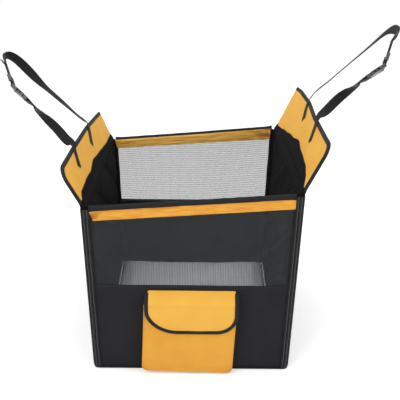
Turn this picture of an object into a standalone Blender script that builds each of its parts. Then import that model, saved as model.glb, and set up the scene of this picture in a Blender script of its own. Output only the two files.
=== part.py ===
# A soft-sided car seat for pets: a padded box with two mesh-windowed ends, a flap with a
# buckled strap loop above each side wall, and a pocket on the front.
# X runs across the seat, Y from the pocket side to the back, Z up. The origin is the middle
# of the underside. Every length is in metres.

from math import atan, cos, pi, radians, sin, sqrt

import bmesh
import bpy
from mathutils import Matrix, Vector

# Box
OUTER_WIDTH = 0.550
DEPTH = 0.600
LEFT_HEIGHT = 0.470
RIGHT_HEIGHT = 0.510
BASE_DRAW = 0.013
CLEARANCE = 0.0003

# Side walls, from the outside in: cover, stiffening board, quilted lining
WALL = 0.020
COVER = 0.002
BOARD = 0.003
LINING_CROWN = 0.006
LINING_EDGE = 0.0085
QUILT_SPACING = 0.105
QUILT_VALLEY = 0.0035
QUILT_SLOPE = radians(32)
EDGE_DEPTH = 0.009
EDGE_ROUND = 0.0025

# Floor
BOTTOM = 0.002
BASE_BOARD = 0.004
FLOOR_ROUND = 0.012
PAD_THICKNESS = 0.034
PAD_EDGE = 0.018
PAD_MARGIN = 0.006
PAD_DRAW = 0.005

# Front and back ends
END_INSET = 0.003
END_PANEL = 0.005
PANEL_HEIGHT = 0.251
MESH = 0.0015
BAND = 0.003
BAND_HEIGHT = 0.025
SLEEVE_RADIUS = 0.007
RAIL_RADIUS = 0.005
RAIL_BORE = 0.0038
RAIL_END = 0.006

# Flaps above the side walls
ROLL_RADIUS = 0.006
ROLL_END = 0.002
HINGE_INSET = 0.005
FLAP_THICKNESS = 0.007
FLAP_CLOTH = 0.002
FLAP_END_INSET = 0.002
LEFT_FLAP_NEAR = 0.116
LEFT_FLAP_FAR = 0.092
LEFT_FLARE = 0.022
RIGHT_FLAP_NEAR = 0.142
RIGHT_FLAP_FAR = 0.143
RIGHT_FLARE = 0.008
LEFT_TILT = radians(24)
RIGHT_TILT = radians(25)
FLAP_CORNER = 0.034
BINDING = 0.010
LEFT_ARCH = 0.024
RIGHT_ARCH = 0.058
ARCH_STRIP = 0.004
CORNER_STEPS = 6
ARCH_STEPS = 18

# Webbing
WEBBING = 0.025
WEBBING_THICKNESS = 0.0015
SEWN = 0.050
LEAD = 0.022
STRAP_SPREAD = 0.095
LOOP_TILT = radians(42)
LEFT_LOOP = 0.283
RIGHT_LOOP = 0.305
STRAIGHT = 0.073
TAIL = 0.068
TAIL_CURL = 0.016
TAIL_LIFT = 0.006
LAP = 0.022
MERGE = 0.014
SEWN_STATIONS = 14
EASING_STATIONS = 6

# Slider
SLIDER_WIDTH = 0.033
SLIDER_LENGTH = 0.020
SLIDER_BAR = 0.002
SLIDER_CROSS = 0.0045
SLIDER_REST = 0.024
SIDE_PLAY = 0.0008

# Side-release buckle
BUCKLE_WIDTH = 0.034
BUCKLE_THICKNESS = 0.0095
BUCKLE_WALL = 0.0018
BUCKLE_ROUND = 0.0012
SOCKET_LENGTH = 0.040
SOCKET_FLOOR = 0.0105
BAR = 0.003
BAR_MARGIN = 0.0012
SLOT = 0.0055
WINDOW_START = 0.0160
WINDOW_END = 0.0340
INSERT_WIDTH = 0.031
INSERT_THICKNESS = 0.008
INSERT_WEB = 0.004
TONGUE_WIDTH = 0.005
TONGUE_THICKNESS = 0.004
TONGUE_LENGTH = 0.022
PRONG = 0.003
PRONG_THICKNESS = 0.005
PRONG_LENGTH = 0.0222
SHOULDER = 0.0024
SHOULDER_LENGTH = 0.0115

# Pocket
POCKET_WIDTH = 0.238
POCKET_CENTRE = -0.002
POCKET_LEAN = -0.009
MOUTH_DROP = 0.003
POCKET_BOTTOM = 0.004
POCKET_DEPTH = 0.026
POCKET_CLOTH = 0.002
POCKET_CORNER = 0.014
FLAP_WIDTH = 0.243
FLAP_CENTRE = 0.0005
FLAP_HINGE = 0.238
FLAP_CREASE = 0.215
FLAP_BOTTOM = 0.124
POCKET_FLAP = 0.0024
FLAP_EDGE = 0.003
FLAP_EDGE_START = 0.003
FLAP_CORNER_WIDE = 0.062
FLAP_CORNER_TALL = 0.050
PATCH = 0.001
PATCH_WIDTH = 0.050
PATCH_HEIGHT = 0.020
PATCH_BOTTOM = 0.140

OVERRUN = 0.004
BLACK = (0.030, 0.030, 0.033)

FLOOR_Z = BOTTOM + CLEARANCE
HALF_SPAN = OUTER_WIDTH / 2 - WALL - CLEARANCE
WALL_HALF = DEPTH / 2 - EDGE_DEPTH - CLEARANCE
FRONT_FACE = -(DEPTH / 2 - END_INSET)
POCKET_TOP = FLAP_CREASE - MOUTH_DROP
STACK = (WEBBING_THICKNESS + CLEARANCE) / 2
WRAP = BAR / 2 * sqrt(2) + CLEARANCE + WEBBING_THICKNESS / 2
PASSAGE = WEBBING / 2 + SIDE_PLAY
INSERT_START = SOCKET_LENGTH + CLEARANCE
INSERT_BAR = INSERT_START + INSERT_WEB + SLOT + BAR / 2
PRONG_PIVOT = INSERT_START - CLEARANCE - PRONG / 2
PRONG_SPREAD = BUCKLE_WIDTH / 2 - BUCKLE_WALL - CLEARANCE - SHOULDER - PRONG / 2

# Strap routes above the flap: across as a share of the strap spread, up as a share of the
# loop's length, and the webbing's twist as a share of a quarter turn.
SIDES = {
    "left": {
        "side": -1,
        "height": LEFT_HEIGHT,
        "tilt": LEFT_TILT,
        "near_length": LEFT_FLAP_NEAR,
        "far_length": LEFT_FLAP_FAR,
        "flare": LEFT_FLARE,
        "arch": LEFT_ARCH,
        "loop": LEFT_LOOP,
        "bar_share": (-1.34, 0.758),
        "pull": radians(226),
        "buckle": radians(252),
        "roll": radians(68),
        "half_turns": (-1, 0),
        "sewn_shares": (1.06, -1.36),
        "lean_shares": (1.10, 0.60),
        "far_shares": [
            (1.04, 0.12, 0.00),
            (0.97, 0.25, -0.04),
            (0.84, 0.39, -0.14),
            (0.70, 0.54, -0.38),
            (0.63, 0.68, -0.66),
            (0.65, 0.82, -0.70),
            (0.62, 0.95, -0.55),
            (0.35, 1.03, -0.40),
            (-0.05, 1.02, -0.28),
        ],
        "near_shares": [
            (-1.22, 0.10, 0.60),
            (-1.20, 0.20, 0.90),
            (-1.32, 0.33, 0.80),
            (-1.30, 0.44, 0.50),
        ],
    },
    "right": {
        "side": 1,
        "height": RIGHT_HEIGHT,
        "tilt": RIGHT_TILT,
        "near_length": RIGHT_FLAP_NEAR,
        "far_length": RIGHT_FLAP_FAR,
        "flare": RIGHT_FLARE,
        "arch": RIGHT_ARCH,
        "loop": RIGHT_LOOP,
        "bar_share": (-1.65, 0.680),
        "pull": radians(228),
        "buckle": radians(266),
        "roll": radians(-68),
        "half_turns": (0, -1),
        "sewn_shares": (1.05, -1.00),
        "lean_shares": (1.00, 0.70),
        "far_shares": [
            (1.32, 0.105, 0.00),
            (1.34, 0.16, 0.00),
            (1.08, 0.27, 0.00),
            (0.98, 0.40, 0.00),
            (0.80, 0.58, 0.00),
            (0.62, 0.74, 0.04),
            (0.54, 0.87, 0.12),
            (0.38, 0.98, 0.20),
            (-0.05, 1.00, 0.24),
            (-0.60, 0.98, 0.24),
        ],
        "near_shares": [
            (-0.72, 0.12, -0.50),
            (-0.90, 0.22, -0.95),
            (-0.97, 0.33, -0.95),
            (-1.14, 0.42, -0.50),
        ],
    },
}

for old in list(bpy.data.objects):
    bpy.data.objects.remove(old)

PARTS = bpy.data.collections.new("pet_car_seat")
CUTTERS = bpy.data.collections.new("cutters")
bpy.context.scene.collection.children.link(PARTS)
bpy.context.scene.collection.children.link(CUTTERS)
CUTTERS.hide_render = True


def material(name, colour, roughness, alpha=1.0):
    made = bpy.data.materials.new(name)
    made.use_nodes = True
    shader = made.node_tree.nodes["Principled BSDF"]
    shader.inputs["Base Color"].default_value = (*colour, 1.0)
    shader.inputs["Roughness"].default_value = roughness
    shader.inputs["Metallic"].default_value = 0.0
    shader.inputs["Alpha"].default_value = alpha
    made.diffuse_color = (*colour, alpha)
    return made


BLACK_CLOTH = material("black_cloth", BLACK, 0.85)
YELLOW_CLOTH = material("yellow_cloth", (0.80, 0.42, 0.10), 0.80)
GREY_PAD = material("grey_pad", (0.45, 0.47, 0.50), 0.90)
DARK_MESH = material("dark_mesh", (0.08, 0.08, 0.09), 0.80, 0.45)
BINDING_TAPE = material("binding_tape", (0.045, 0.045, 0.048), 0.75)
WEBBING_TAPE = material("webbing_tape", (0.040, 0.040, 0.043), 0.70)
BUCKLE_PLASTIC = material("buckle_plastic", (0.035, 0.035, 0.038), 0.40)
RAIL_PLASTIC = material("rail_plastic", (0.60, 0.60, 0.58), 0.45)
STIFF_BOARD = material("stiff_board", (0.20, 0.20, 0.20), 0.60)
HOOK_TAPE = material("hook_tape", (0.030, 0.030, 0.030), 0.95)


def frame_at(name, location, x_axis=None, y_axis=None, parent=None):
    """An empty that pieces hang on, with the given world axes."""
    empty = bpy.data.objects.new(name, None)
    PARTS.objects.link(empty)
    x_axis = Vector(x_axis or (1, 0, 0)).normalized()
    y_axis = Vector(y_axis or (0, 1, 0)).normalized()
    turn = Matrix((x_axis, y_axis, x_axis.cross(y_axis))).transposed().to_4x4()
    world = Matrix.Translation(location) @ turn
    empty["world"] = [value for row in world for value in row]
    if parent:
        empty.parent = parent
        world = world_of(parent).inverted() @ world
    empty.matrix_basis = world
    return empty


def world_of(frame):
    values = list(frame["world"])
    return Matrix([values[row : row + 4] for row in range(0, 16, 4)])


def add(name, mesh, finish, frame=None, collection=PARTS):
    made = bpy.data.objects.new(name, mesh)
    collection.objects.link(made)
    if finish:
        mesh.materials.append(finish)
    if frame:
        made.parent = frame
    return made


def mesh_from(name, bm):
    mesh = bpy.data.meshes.new(name)
    bm.to_mesh(mesh)
    bm.free()
    return mesh


def bevel(piece, width, segments=2):
    round_edges = piece.modifiers.new("rounded", "BEVEL")
    round_edges.width = width
    round_edges.segments = segments
    round_edges.limit_method = "ANGLE"
    return piece


def box(name, low, high, finish, frame=None, rounding=0.0, collection=PARTS):
    low, high = Vector(low), Vector(high)
    low, high = Vector(map(min, low, high)), Vector(map(max, low, high))
    bm = bmesh.new()
    placing = Matrix.Translation((low + high) / 2) @ Matrix.Diagonal(high - low).to_4x4()
    bmesh.ops.create_cube(bm, size=1.0, matrix=placing)
    piece = add(name, mesh_from(name, bm), finish, frame, collection)
    return bevel(piece, rounding) if rounding else piece


def narrowing(height, z):
    """How far a side wall of the given height leans in, at a place that high on it."""
    return BASE_DRAW * (1 - z / height)


def drawn_in(piece):
    """Leans a piece of the box in toward the base: the walls as they are, the ends squeezed."""
    for vert in piece.data.vertices:
        side, height = (1, RIGHT_HEIGHT) if vert.co.x > 0 else (-1, LEFT_HEIGHT)
        squeeze = min(abs(vert.co.x) / HALF_SPAN, 1)
        vert.co.x -= side * narrowing(height, vert.co.z) * squeeze
    return piece


def carve(piece, boxes, frame=None, operation="DIFFERENCE"):
    """Cuts boxes out of a piece, or joins them to it."""
    for number, (low, high) in enumerate(boxes):
        name = f"{piece.name}_{operation.lower()}_{number}"
        cutter = box(name, low, high, None, frame, collection=CUTTERS)
        cutter.hide_render = True
        cutter.display_type = "WIRE"
        cut = piece.modifiers.new(name, "BOOLEAN")
        cut.operation = operation
        cut.solver = "EXACT"
        cut.object = cutter
    return piece


# Where a plate's outline lies: across and up, with its thickness along the third axis.
FACING_Y = Matrix(((1, 0, 0), (0, 0, -1), (0, 1, 0))).to_4x4()
FACING_X = Matrix(((0, 0, 1), (1, 0, 0), (0, 1, 0))).to_4x4()
LYING = Matrix.Identity(4)


def plate(name, outline, thickness, middle, lie, finish, frame=None):
    """A flat outline given a thickness, with its middle plane at the given place."""
    bm = bmesh.new()
    points = [bm.verts.new(lie @ Vector((u, v, 0))) for u, v in outline]
    bm.faces.new(points)
    bmesh.ops.translate(bm, verts=bm.verts, vec=middle)
    piece = add(name, mesh_from(name, bm), finish, frame)
    thicken(piece, thickness)
    return piece


def thicken(piece, thickness):
    shell = piece.modifiers.new("thickness", "SOLIDIFY")
    shell.thickness = thickness
    shell.offset = 0.0
    shell.use_even_offset = True


def rectangle(left, right, low, high):
    return [(left, low), (right, low), (right, high), (left, high)]


def arc(centre, radius, start, end, steps=CORNER_STEPS):
    turns = [start + (end - start) * step / steps for step in range(steps + 1)]
    return [(centre[0] + radius * cos(a), centre[1] + radius * sin(a)) for a in turns]


def rounded(left, right, low, high, radius):
    corners = [(right, low, -pi / 2), (right, high, 0), (left, high, pi / 2), (left, low, pi)]
    outline = []
    for x, y, start in corners:
        centre = (x - radius if x == right else x + radius, y - radius if y == high else y + radius)
        outline += arc(centre, radius, start, start + pi / 2)
    return outline


def tube(name, radius, bore, half_length, finish, frame):
    """A round tube along the frame's X axis, open at both ends."""
    bm = bmesh.new()
    corners = [(radius, half_length), (radius, -half_length), (bore, -half_length), (bore, half_length)]
    points = [bm.verts.new((across, 0, along)) for across, along in corners]
    for first, second in zip(points, points[1:] + points[:1]):
        bm.edges.new((first, second))
    piece = add(name, mesh_from(name, bm), finish, frame)
    piece.matrix_basis = Matrix.Rotation(pi / 2, 4, "Y")
    turned = piece.modifiers.new("turned", "SCREW")
    turned.steps = turned.render_steps = 20
    turned.use_merge_vertices = True
    turned.merge_threshold = 0.0001
    return piece


def crowned(name, across, up, height_at, plan_at, finish, place):
    """A closed pad: a grid whose face swells by a formula, on a flat back."""
    bm = bmesh.new()
    bmesh.ops.create_grid(bm, x_segments=across, y_segments=up, size=1.0)
    for vert in bm.verts:
        u, v = vert.co.x, vert.co.y
        x, y = plan_at(u, v)
        vert.co = (x, y, height_at(u, v, x, y))
    rim = [edge for edge in bm.edges if edge.is_boundary]
    grown = bmesh.ops.extrude_edge_only(bm, edges=rim)["geom"]
    for vert in (item for item in grown if isinstance(item, bmesh.types.BMVert)):
        vert.co.z = 0.0
    bmesh.ops.holes_fill(bm, edges=[edge for edge in bm.edges if edge.is_boundary])
    bmesh.ops.transform(bm, matrix=place, verts=bm.verts)
    bmesh.ops.recalc_face_normals(bm, faces=bm.faces)
    return add(name, mesh_from(name, bm), finish)


def fall(value, power):
    """1 in the middle of a pad and 0 at its rim."""
    return (1 - abs(value) ** power) ** 0.5


def ribbon(name, stations, normals, width, thickness, finish, frame):
    """Webbing along stations of place and twist. Without twist it lies square to the normal."""
    away = world_of(frame).inverted()
    places = [station.to_3d() for station in stations]
    bm = bmesh.new()
    rows = []
    for number, (place, normal) in enumerate(zip(places, normals)):
        before, after = places[max(number - 1, 0)], places[min(number + 1, len(places) - 1)]
        along = (after - before).normalized()
        flat = normal.cross(along).normalized()
        twist = stations[number].w * pi / 2
        across = flat * cos(twist) + along.cross(flat) * sin(twist)
        ends = (place - across * width / 2, place + across * width / 2)
        rows.append([bm.verts.new(away @ end) for end in ends])
    for (a, b), (c, d) in zip(rows, rows[1:]):
        bm.faces.new((a, b, d, c))
    piece = add(name, mesh_from(name, bm), finish, frame)
    thicken(piece, thickness)
    return piece


def b_spline(points, per_span):
    """A smooth curve led by the points. It starts at the second and ends at the last but one."""
    curve = []
    for p, q, r, s in zip(points, points[1:], points[2:], points[3:]):
        for step in range(per_span):
            t = step / per_span
            weights = ((1 - t) ** 3, 3 * t**3 - 6 * t**2 + 4, -3 * t**3 + 3 * t**2 + 3 * t + 1, t**3)
            curve.append(sum((w * x for w, x in zip(weights, (p, q, r, s))), Vector((0, 0, 0, 0))) / 6)
    curve.append((points[-3] + 4 * points[-2] + points[-1]) / 6)
    return curve


def floor_pieces():
    half_x, half_y = OUTER_WIDTH / 2 - BASE_DRAW, DEPTH / 2
    outline = rounded(-half_x, half_x, -half_y, half_y, FLOOR_ROUND)
    plate("bottom_panel", outline, BOTTOM, (0, 0, BOTTOM / 2), LYING, BLACK_CLOTH)
    board_x, board_y = HALF_SPAN - BASE_DRAW - CLEARANCE, DEPTH / 2 - END_INSET - END_PANEL - CLEARANCE
    board_top = FLOOR_Z + BASE_BOARD
    box("base_board", (-board_x, -board_y, FLOOR_Z), (board_x, board_y, board_top), STIFF_BOARD)
    pad_x, pad_y = board_x - PAD_MARGIN, board_y - PAD_MARGIN

    def plan(u, v):
        return (pad_x - PAD_DRAW * fall(v, 2)) * u, (pad_y - PAD_DRAW * fall(u, 2)) * v

    def height(u, v, x, y):
        return PAD_EDGE + (PAD_THICKNESS - PAD_EDGE) * fall(u, 6) * fall(v, 6)

    place = Matrix.Translation((0, 0, board_top + CLEARANCE))
    crowned("floor_pad", 22, 24, height, plan, GREY_PAD, place)


def end_pieces(name, end):
    """The front or back end: lower panel, mesh window, yellow band, and the railed sleeve."""
    middle_y = end * (DEPTH / 2 - END_INSET - END_PANEL / 2)
    lower = rectangle(-HALF_SPAN, HALF_SPAN, FLOOR_Z, PANEL_HEIGHT)
    panel = plate(f"{name}_lower_panel", lower, END_PANEL, (0, middle_y, 0), FACING_Y, BLACK_CLOTH)
    bevel(drawn_in(panel), END_PANEL / 5, 1)
    slope = atan((RIGHT_HEIGHT - LEFT_HEIGHT) / OUTER_WIDTH)
    rail_z = (LEFT_HEIGHT + RIGHT_HEIGHT) / 2 - SLEEVE_RADIUS
    rail = frame_at(f"{name}_rail", (0, middle_y, rail_z), (cos(slope), 0, sin(slope)))

    def reach(low):
        """Half the length that fits between the walls, that far below the rail."""
        lean = narrowing(LEFT_HEIGHT, LEFT_HEIGHT - SLEEVE_RADIUS - low)
        return (HALF_SPAN - lean - low * sin(slope)) / cos(slope)

    sleeve_half = reach(SLEEVE_RADIUS)
    tube(f"{name}_top_sleeve", SLEEVE_RADIUS, RAIL_RADIUS + CLEARANCE, sleeve_half, BLACK_CLOTH, rail)
    tube(f"{name}_rail_tube", RAIL_RADIUS, RAIL_BORE, sleeve_half - RAIL_END, RAIL_PLASTIC, rail)
    band_top = SLEEVE_RADIUS + CLEARANCE
    band_low = band_top + BAND_HEIGHT
    low_half, top_half = reach(band_low), reach(band_top)
    band = [(-low_half, -band_low), (low_half, -band_low), (top_half, -band_top), (-top_half, -band_top)]
    strip = plate(f"{name}_top_band", band, BAND, (0, 0, 0), FACING_Y, YELLOW_CLOTH, rail)
    bevel(strip, BAND / 5, 1)
    drop = (CLEARANCE + band_low) / cos(slope)
    rise = HALF_SPAN * sin(slope) / cos(slope)
    window = [
        (-HALF_SPAN, PANEL_HEIGHT + CLEARANCE),
        (HALF_SPAN, PANEL_HEIGHT + CLEARANCE),
        (HALF_SPAN, rail_z + rise - drop),
        (-HALF_SPAN, rail_z - rise - drop),
    ]
    drawn_in(plate(f"{name}_mesh_window", window, MESH, (0, middle_y, 0), FACING_Y, DARK_MESH))


def wall_pieces(name, shape):
    """A side wall, its edge bindings and the rolled fold on which the flap turns."""
    side, height = shape["side"], shape["height"]
    outer = side * OUTER_WIDTH / 2
    top = height - ROLL_RADIUS - CLEARANCE
    cover_in = outer - side * COVER
    board_out = cover_in - side * CLEARANCE
    board_in = board_out - side * BOARD
    lining_out = board_in - side * CLEARANCE
    layers = (("cover", outer, cover_in, BLACK_CLOTH), ("board", board_out, board_in, STIFF_BOARD))
    for layer, out_x, in_x, finish in layers:
        low, high = (out_x, -WALL_HALF, FLOOR_Z), (in_x, WALL_HALF, top)
        drawn_in(box(f"{name}_wall_{layer}", low, high, finish))
    half_z = (top - FLOOR_Z) / 2
    lining_depth = abs(lining_out) - (OUTER_WIDTH / 2 - WALL)

    def plan(u, v):
        return WALL_HALF * u, half_z * v

    def swell(u, v, x, y):
        across_lines = (x * sin(QUILT_SLOPE) + y * cos(QUILT_SLOPE)) / QUILT_SPACING
        valley = QUILT_VALLEY * (1 - abs(sin(pi * across_lines)) ** 0.7)
        rim = fall(u, 8) * fall(v, 8)
        return LINING_EDGE + (lining_depth + LINING_CROWN - LINING_EDGE - valley) * rim

    inward = Matrix(((0, 0, -side), (1, 0, 0), (0, 1, 0))).to_4x4()
    place = Matrix.Translation((lining_out, 0, FLOOR_Z + half_z)) @ inward
    drawn_in(crowned(f"{name}_wall_lining", 30, 30, swell, plan, BLACK_CLOTH, place))
    for end_name, end in (("front", -1), ("back", 1)):
        low = (outer, end * DEPTH / 2, FLOOR_Z)
        high = (outer - side * WALL, end * (DEPTH / 2 - EDGE_DEPTH), top)
        drawn_in(box(f"{name}_{end_name}_edge", low, high, BINDING_TAPE, rounding=EDGE_ROUND))
    bm = bmesh.new()
    axis = Vector((outer - side * HINGE_INSET, 0, height))
    lying = Matrix.Translation(axis) @ Matrix.Rotation(pi / 2, 4, "X")
    bmesh.ops.create_cone(
        bm,
        cap_ends=True,
        segments=20,
        radius1=ROLL_RADIUS,
        radius2=ROLL_RADIUS,
        depth=DEPTH - 2 * ROLL_END,
        matrix=lying,
    )
    add(f"{name}_fold_roll", mesh_from("fold_roll", bm), BLACK_CLOTH)
    return axis


def flap_rim(shape, y):
    """How far the flap's outer edge is from its fold, at that place along it."""
    half = DEPTH / 2 - FLAP_END_INSET
    share = (y + half - FLAP_CORNER) / (2 * half - FLAP_CORNER)
    return shape["near_length"] + (shape["far_length"] - shape["near_length"]) * share


def flap_edge(shape, inset, start):
    """The near and outer edges of a flap, inset from its rim. It flares toward its near corner."""
    half = DEPTH / 2 - FLAP_END_INSET
    centre = (-half - shape["flare"] + FLAP_CORNER, shape["near_length"] - FLAP_CORNER)
    bend = arc(centre, FLAP_CORNER - inset, pi, pi / 2)
    return [(-half + inset, start)] + bend + [(half, shape["far_length"] - inset)]


def flap_pieces(name, shape, axis):
    """A flap in its own frame: X across its thickness, Y along the fold, Z up the flap."""
    side = shape["side"]
    tilt = side * shape["tilt"]
    frame = frame_at(f"{name}_flap", axis, (cos(tilt), 0, -sin(tilt)))
    start = ROLL_RADIUS + CLEARANCE
    half = DEPTH / 2 - FLAP_END_INSET
    inner = flap_edge(shape, BINDING + CLEARANCE, start)
    near_y = inner[0][0]

    def seam(y):
        share = (2 * y - half - near_y) / (half - near_y)
        return start + ARCH_STRIP + shape["arch"] * max(cos(share * pi / 2), 0) ** 0.6

    stops = [near_y + (half - near_y) * step / ARCH_STEPS for step in range(ARCH_STEPS + 1)]
    seam_line = [(y, seam(y)) for y in stops]
    layer = FLAP_THICKNESS / 2 - FLAP_CLOTH / 2
    inside, outside = (-side * layer, 0, 0), (side * layer, 0, 0)
    facing = inner[1:] + seam_line[::-1]
    lining = [(y, s - CLEARANCE) for y, s in seam_line] + [(half, start), (near_y, start)]
    plate(f"{name}_flap_facing", facing, FLAP_CLOTH, inside, FACING_X, YELLOW_CLOTH, frame)
    plate(f"{name}_flap_lining", lining, FLAP_CLOTH, inside, FACING_X, BLACK_CLOTH, frame)
    whole = inner + [(half, start)]
    core = FLAP_THICKNESS - 2 * FLAP_CLOTH - 2 * CLEARANCE
    plate(f"{name}_flap_board", whole, core, (0, 0, 0), FACING_X, STIFF_BOARD, frame)
    plate(f"{name}_flap_backing", whole, FLAP_CLOTH, outside, FACING_X, BLACK_CLOTH, frame)
    rim = flap_edge(shape, 0.0, start) + flap_edge(shape, BINDING, start)[::-1]
    plate(f"{name}_flap_binding", rim, FLAP_THICKNESS, (0, 0, 0), FACING_X, BINDING_TAPE, frame)
    return frame


def station(place, twist):
    """A place on a strap with its twist, as one vector."""
    return Vector((place.x, place.y, place.z, twist))


class StrapPlane:
    """The plane in which a side's strap loop hangs, and the flap's own plane below it."""

    def __init__(self, shape, axis):
        side, tilt = shape["side"], shape["tilt"]
        self.flap_up = Vector((side * sin(tilt), 0, cos(tilt)))
        self.flap_in = Vector((-side * cos(tilt), 0, sin(tilt)))
        self.up = Vector((side * sin(LOOP_TILT), 0, cos(LOOP_TILT)))
        self.inward = Vector((-side * cos(LOOP_TILT), 0, sin(LOOP_TILT)))
        self.shape = shape
        self.loop = shape["loop"]
        self.axis = axis
        self.edge = axis + self.flap_up * flap_rim(shape, 0.0)

    def direction(self, turn):
        return Vector((0, cos(turn), 0)) + self.up * sin(turn)

    def shared(self, share):
        across, up, *twist = share
        place = self.edge + Vector((0, across * STRAP_SPREAD, 0)) + self.up * (up * self.loop)
        return station(place, twist[0]) if twist else place

    def on_flap(self, y, up):
        lift = FLAP_THICKNESS / 2 + CLEARANCE + WEBBING_THICKNESS / 2
        return station(self.axis + self.flap_up * up + self.flap_in * lift + Vector((0, y, 0)), 0.0)

    def sewn(self, which):
        """The stretch sewn to the flap's inner face, and a point that leads off it."""
        y = self.shape["sewn_shares"][which] * STRAP_SPREAD
        lean, rim = self.shape["lean_shares"][which], flap_rim(self.shape, y)
        stops = (-SEWN, -SEWN, -SEWN / 2, 0.0, LEAD)
        return [self.on_flap(y + lean * stop, rim + stop) for stop in stops]


def wrap(bar, away, beside):
    """Half a turn of webbing round a bar, from the side that beside points to."""
    turns = [pi / 2 - pi * step / 8 for step in range(9)]
    return [station(bar + away * (WRAP * cos(a)) + beside * (WRAP * sin(a)), 1.0) for a in turns]


class BuckleAxes:
    """The directions at the buckle, where the loop is rolled out of its plane."""

    def __init__(self, shape, plane):
        roll = shape["roll"]
        turn = Matrix.Rotation(roll, 3, plane.direction((shape["pull"] + shape["buckle"]) / 2))
        self.pull, self.inside = (turn @ plane.direction(shape["pull"] + more) for more in (0, pi / 2))
        self.ahead, self.beside = (turn @ plane.direction(shape["buckle"] + more) for more in (0, pi / 2))
        self.across = turn @ plane.inward
        far_turns, near_turns = shape["half_turns"]
        self.far_twist = 1 + 2 * roll / pi + 2 * far_turns
        self.near_twist = 1 - 2 * roll / pi + 2 * near_turns
        self.far_normal = self.across * (-1) ** far_turns
        self.near_normal = self.across * (-1) ** near_turns


def webbing(name, plane, led, buckled, normal, frame):
    """A strap: sewn and free stretches that follow the loop, then those square to the buckle."""
    smooth = led[:1] + b_spline(led[1:], 5)
    shares = [min(max((number - SEWN_STATIONS) / EASING_STATIONS, 0), 1) for number in range(len(smooth))]
    normals = [plane.flap_in.lerp(plane.inward, share) for share in shares] + [normal] * len(buckled)
    path = smooth + buckled
    ribbon(name, path, normals, WEBBING, WEBBING_THICKNESS, WEBBING_TAPE, frame)


def strap_pieces(name, shape, plane, frame):
    """The two webbings of a loop: the long one, with its free tail, and the short near one."""
    bar = plane.shared(shape["bar_share"])
    axes = BuckleAxes(shape, plane)

    def beside_pull(back, offset, twist=1.0):
        return station(bar - axes.pull * back + axes.inside * offset, twist)

    lead = [beside_pull(STRAIGHT + step * MERGE, STACK, axes.far_twist) for step in (1, 0, -1)]
    led = plane.sewn(0) + [plane.shared(share) for share in shape["far_shares"]] + lead
    straight = [beside_pull(back, STACK) for back in (SLIDER_REST + SLIDER_LENGTH / 2, MERGE)]
    back_again = [beside_pull(back, -STACK) for back in (MERGE, SLIDER_REST + SLIDER_LENGTH / 2, TAIL)]
    curl = [beside_pull(TAIL + TAIL_CURL * t, -STACK - TAIL_LIFT * t**2) for t in (0.25, 0.5, 0.75, 1)]
    buckled = straight + wrap(bar, axes.pull, axes.inside) + back_again + curl
    webbing(f"{name}_long_strap", plane, led, buckled, axes.far_normal, frame)

    far_bar = bar + axes.ahead * INSERT_BAR

    def beside_buckle(along, offset, twist=1.0):
        return station(far_bar + axes.ahead * along + axes.beside * offset, twist)

    lead = [beside_buckle(LAP + step * MERGE, STACK, axes.near_twist) for step in (1, 0, -1)]
    led = plane.sewn(1) + [plane.shared(share) for share in shape["near_shares"]] + lead
    lap = [beside_buckle(along, -STACK) for along in (MERGE, LAP)]
    buckled = wrap(far_bar, -axes.ahead, axes.beside) + lap
    webbing(f"{name}_near_strap", plane, led, buckled, axes.near_normal, frame)
    return bar, axes


def slider_piece(name, bar, axes, flap):
    """A sliding adjuster: two end bars under the webbing, one middle bar over it."""
    middle = bar - axes.pull * SLIDER_REST
    frame = frame_at(f"{name}_slider", middle, axes.pull, axes.across, flap)
    half_x, half_y, inner_z = SLIDER_LENGTH / 2, SLIDER_WIDTH / 2, STACK + WEBBING_THICKNESS / 2 + CLEARANCE
    half_z = inner_z + SLIDER_BAR
    low, high = (-half_x, -half_y, -half_z), (half_x, half_y, half_z)
    slider = box(f"{name}_strap_slider", low, high, BUCKLE_PLASTIC, frame, BUCKLE_ROUND)
    past_x, past_z = half_x + OVERRUN, half_z + OVERRUN
    bar_in = SLIDER_CROSS / 2
    gaps = [
        ((-past_x, -PASSAGE, -inner_z), (past_x, PASSAGE, inner_z)),
        ((-half_x + SLIDER_CROSS, -PASSAGE, -past_z), (half_x - SLIDER_CROSS, PASSAGE, 0)),
        ((bar_in, -PASSAGE, 0), (past_x, PASSAGE, past_z)),
        ((-past_x, -PASSAGE, 0), (-bar_in, PASSAGE, past_z)),
    ]
    carve(slider, gaps, frame)


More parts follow.
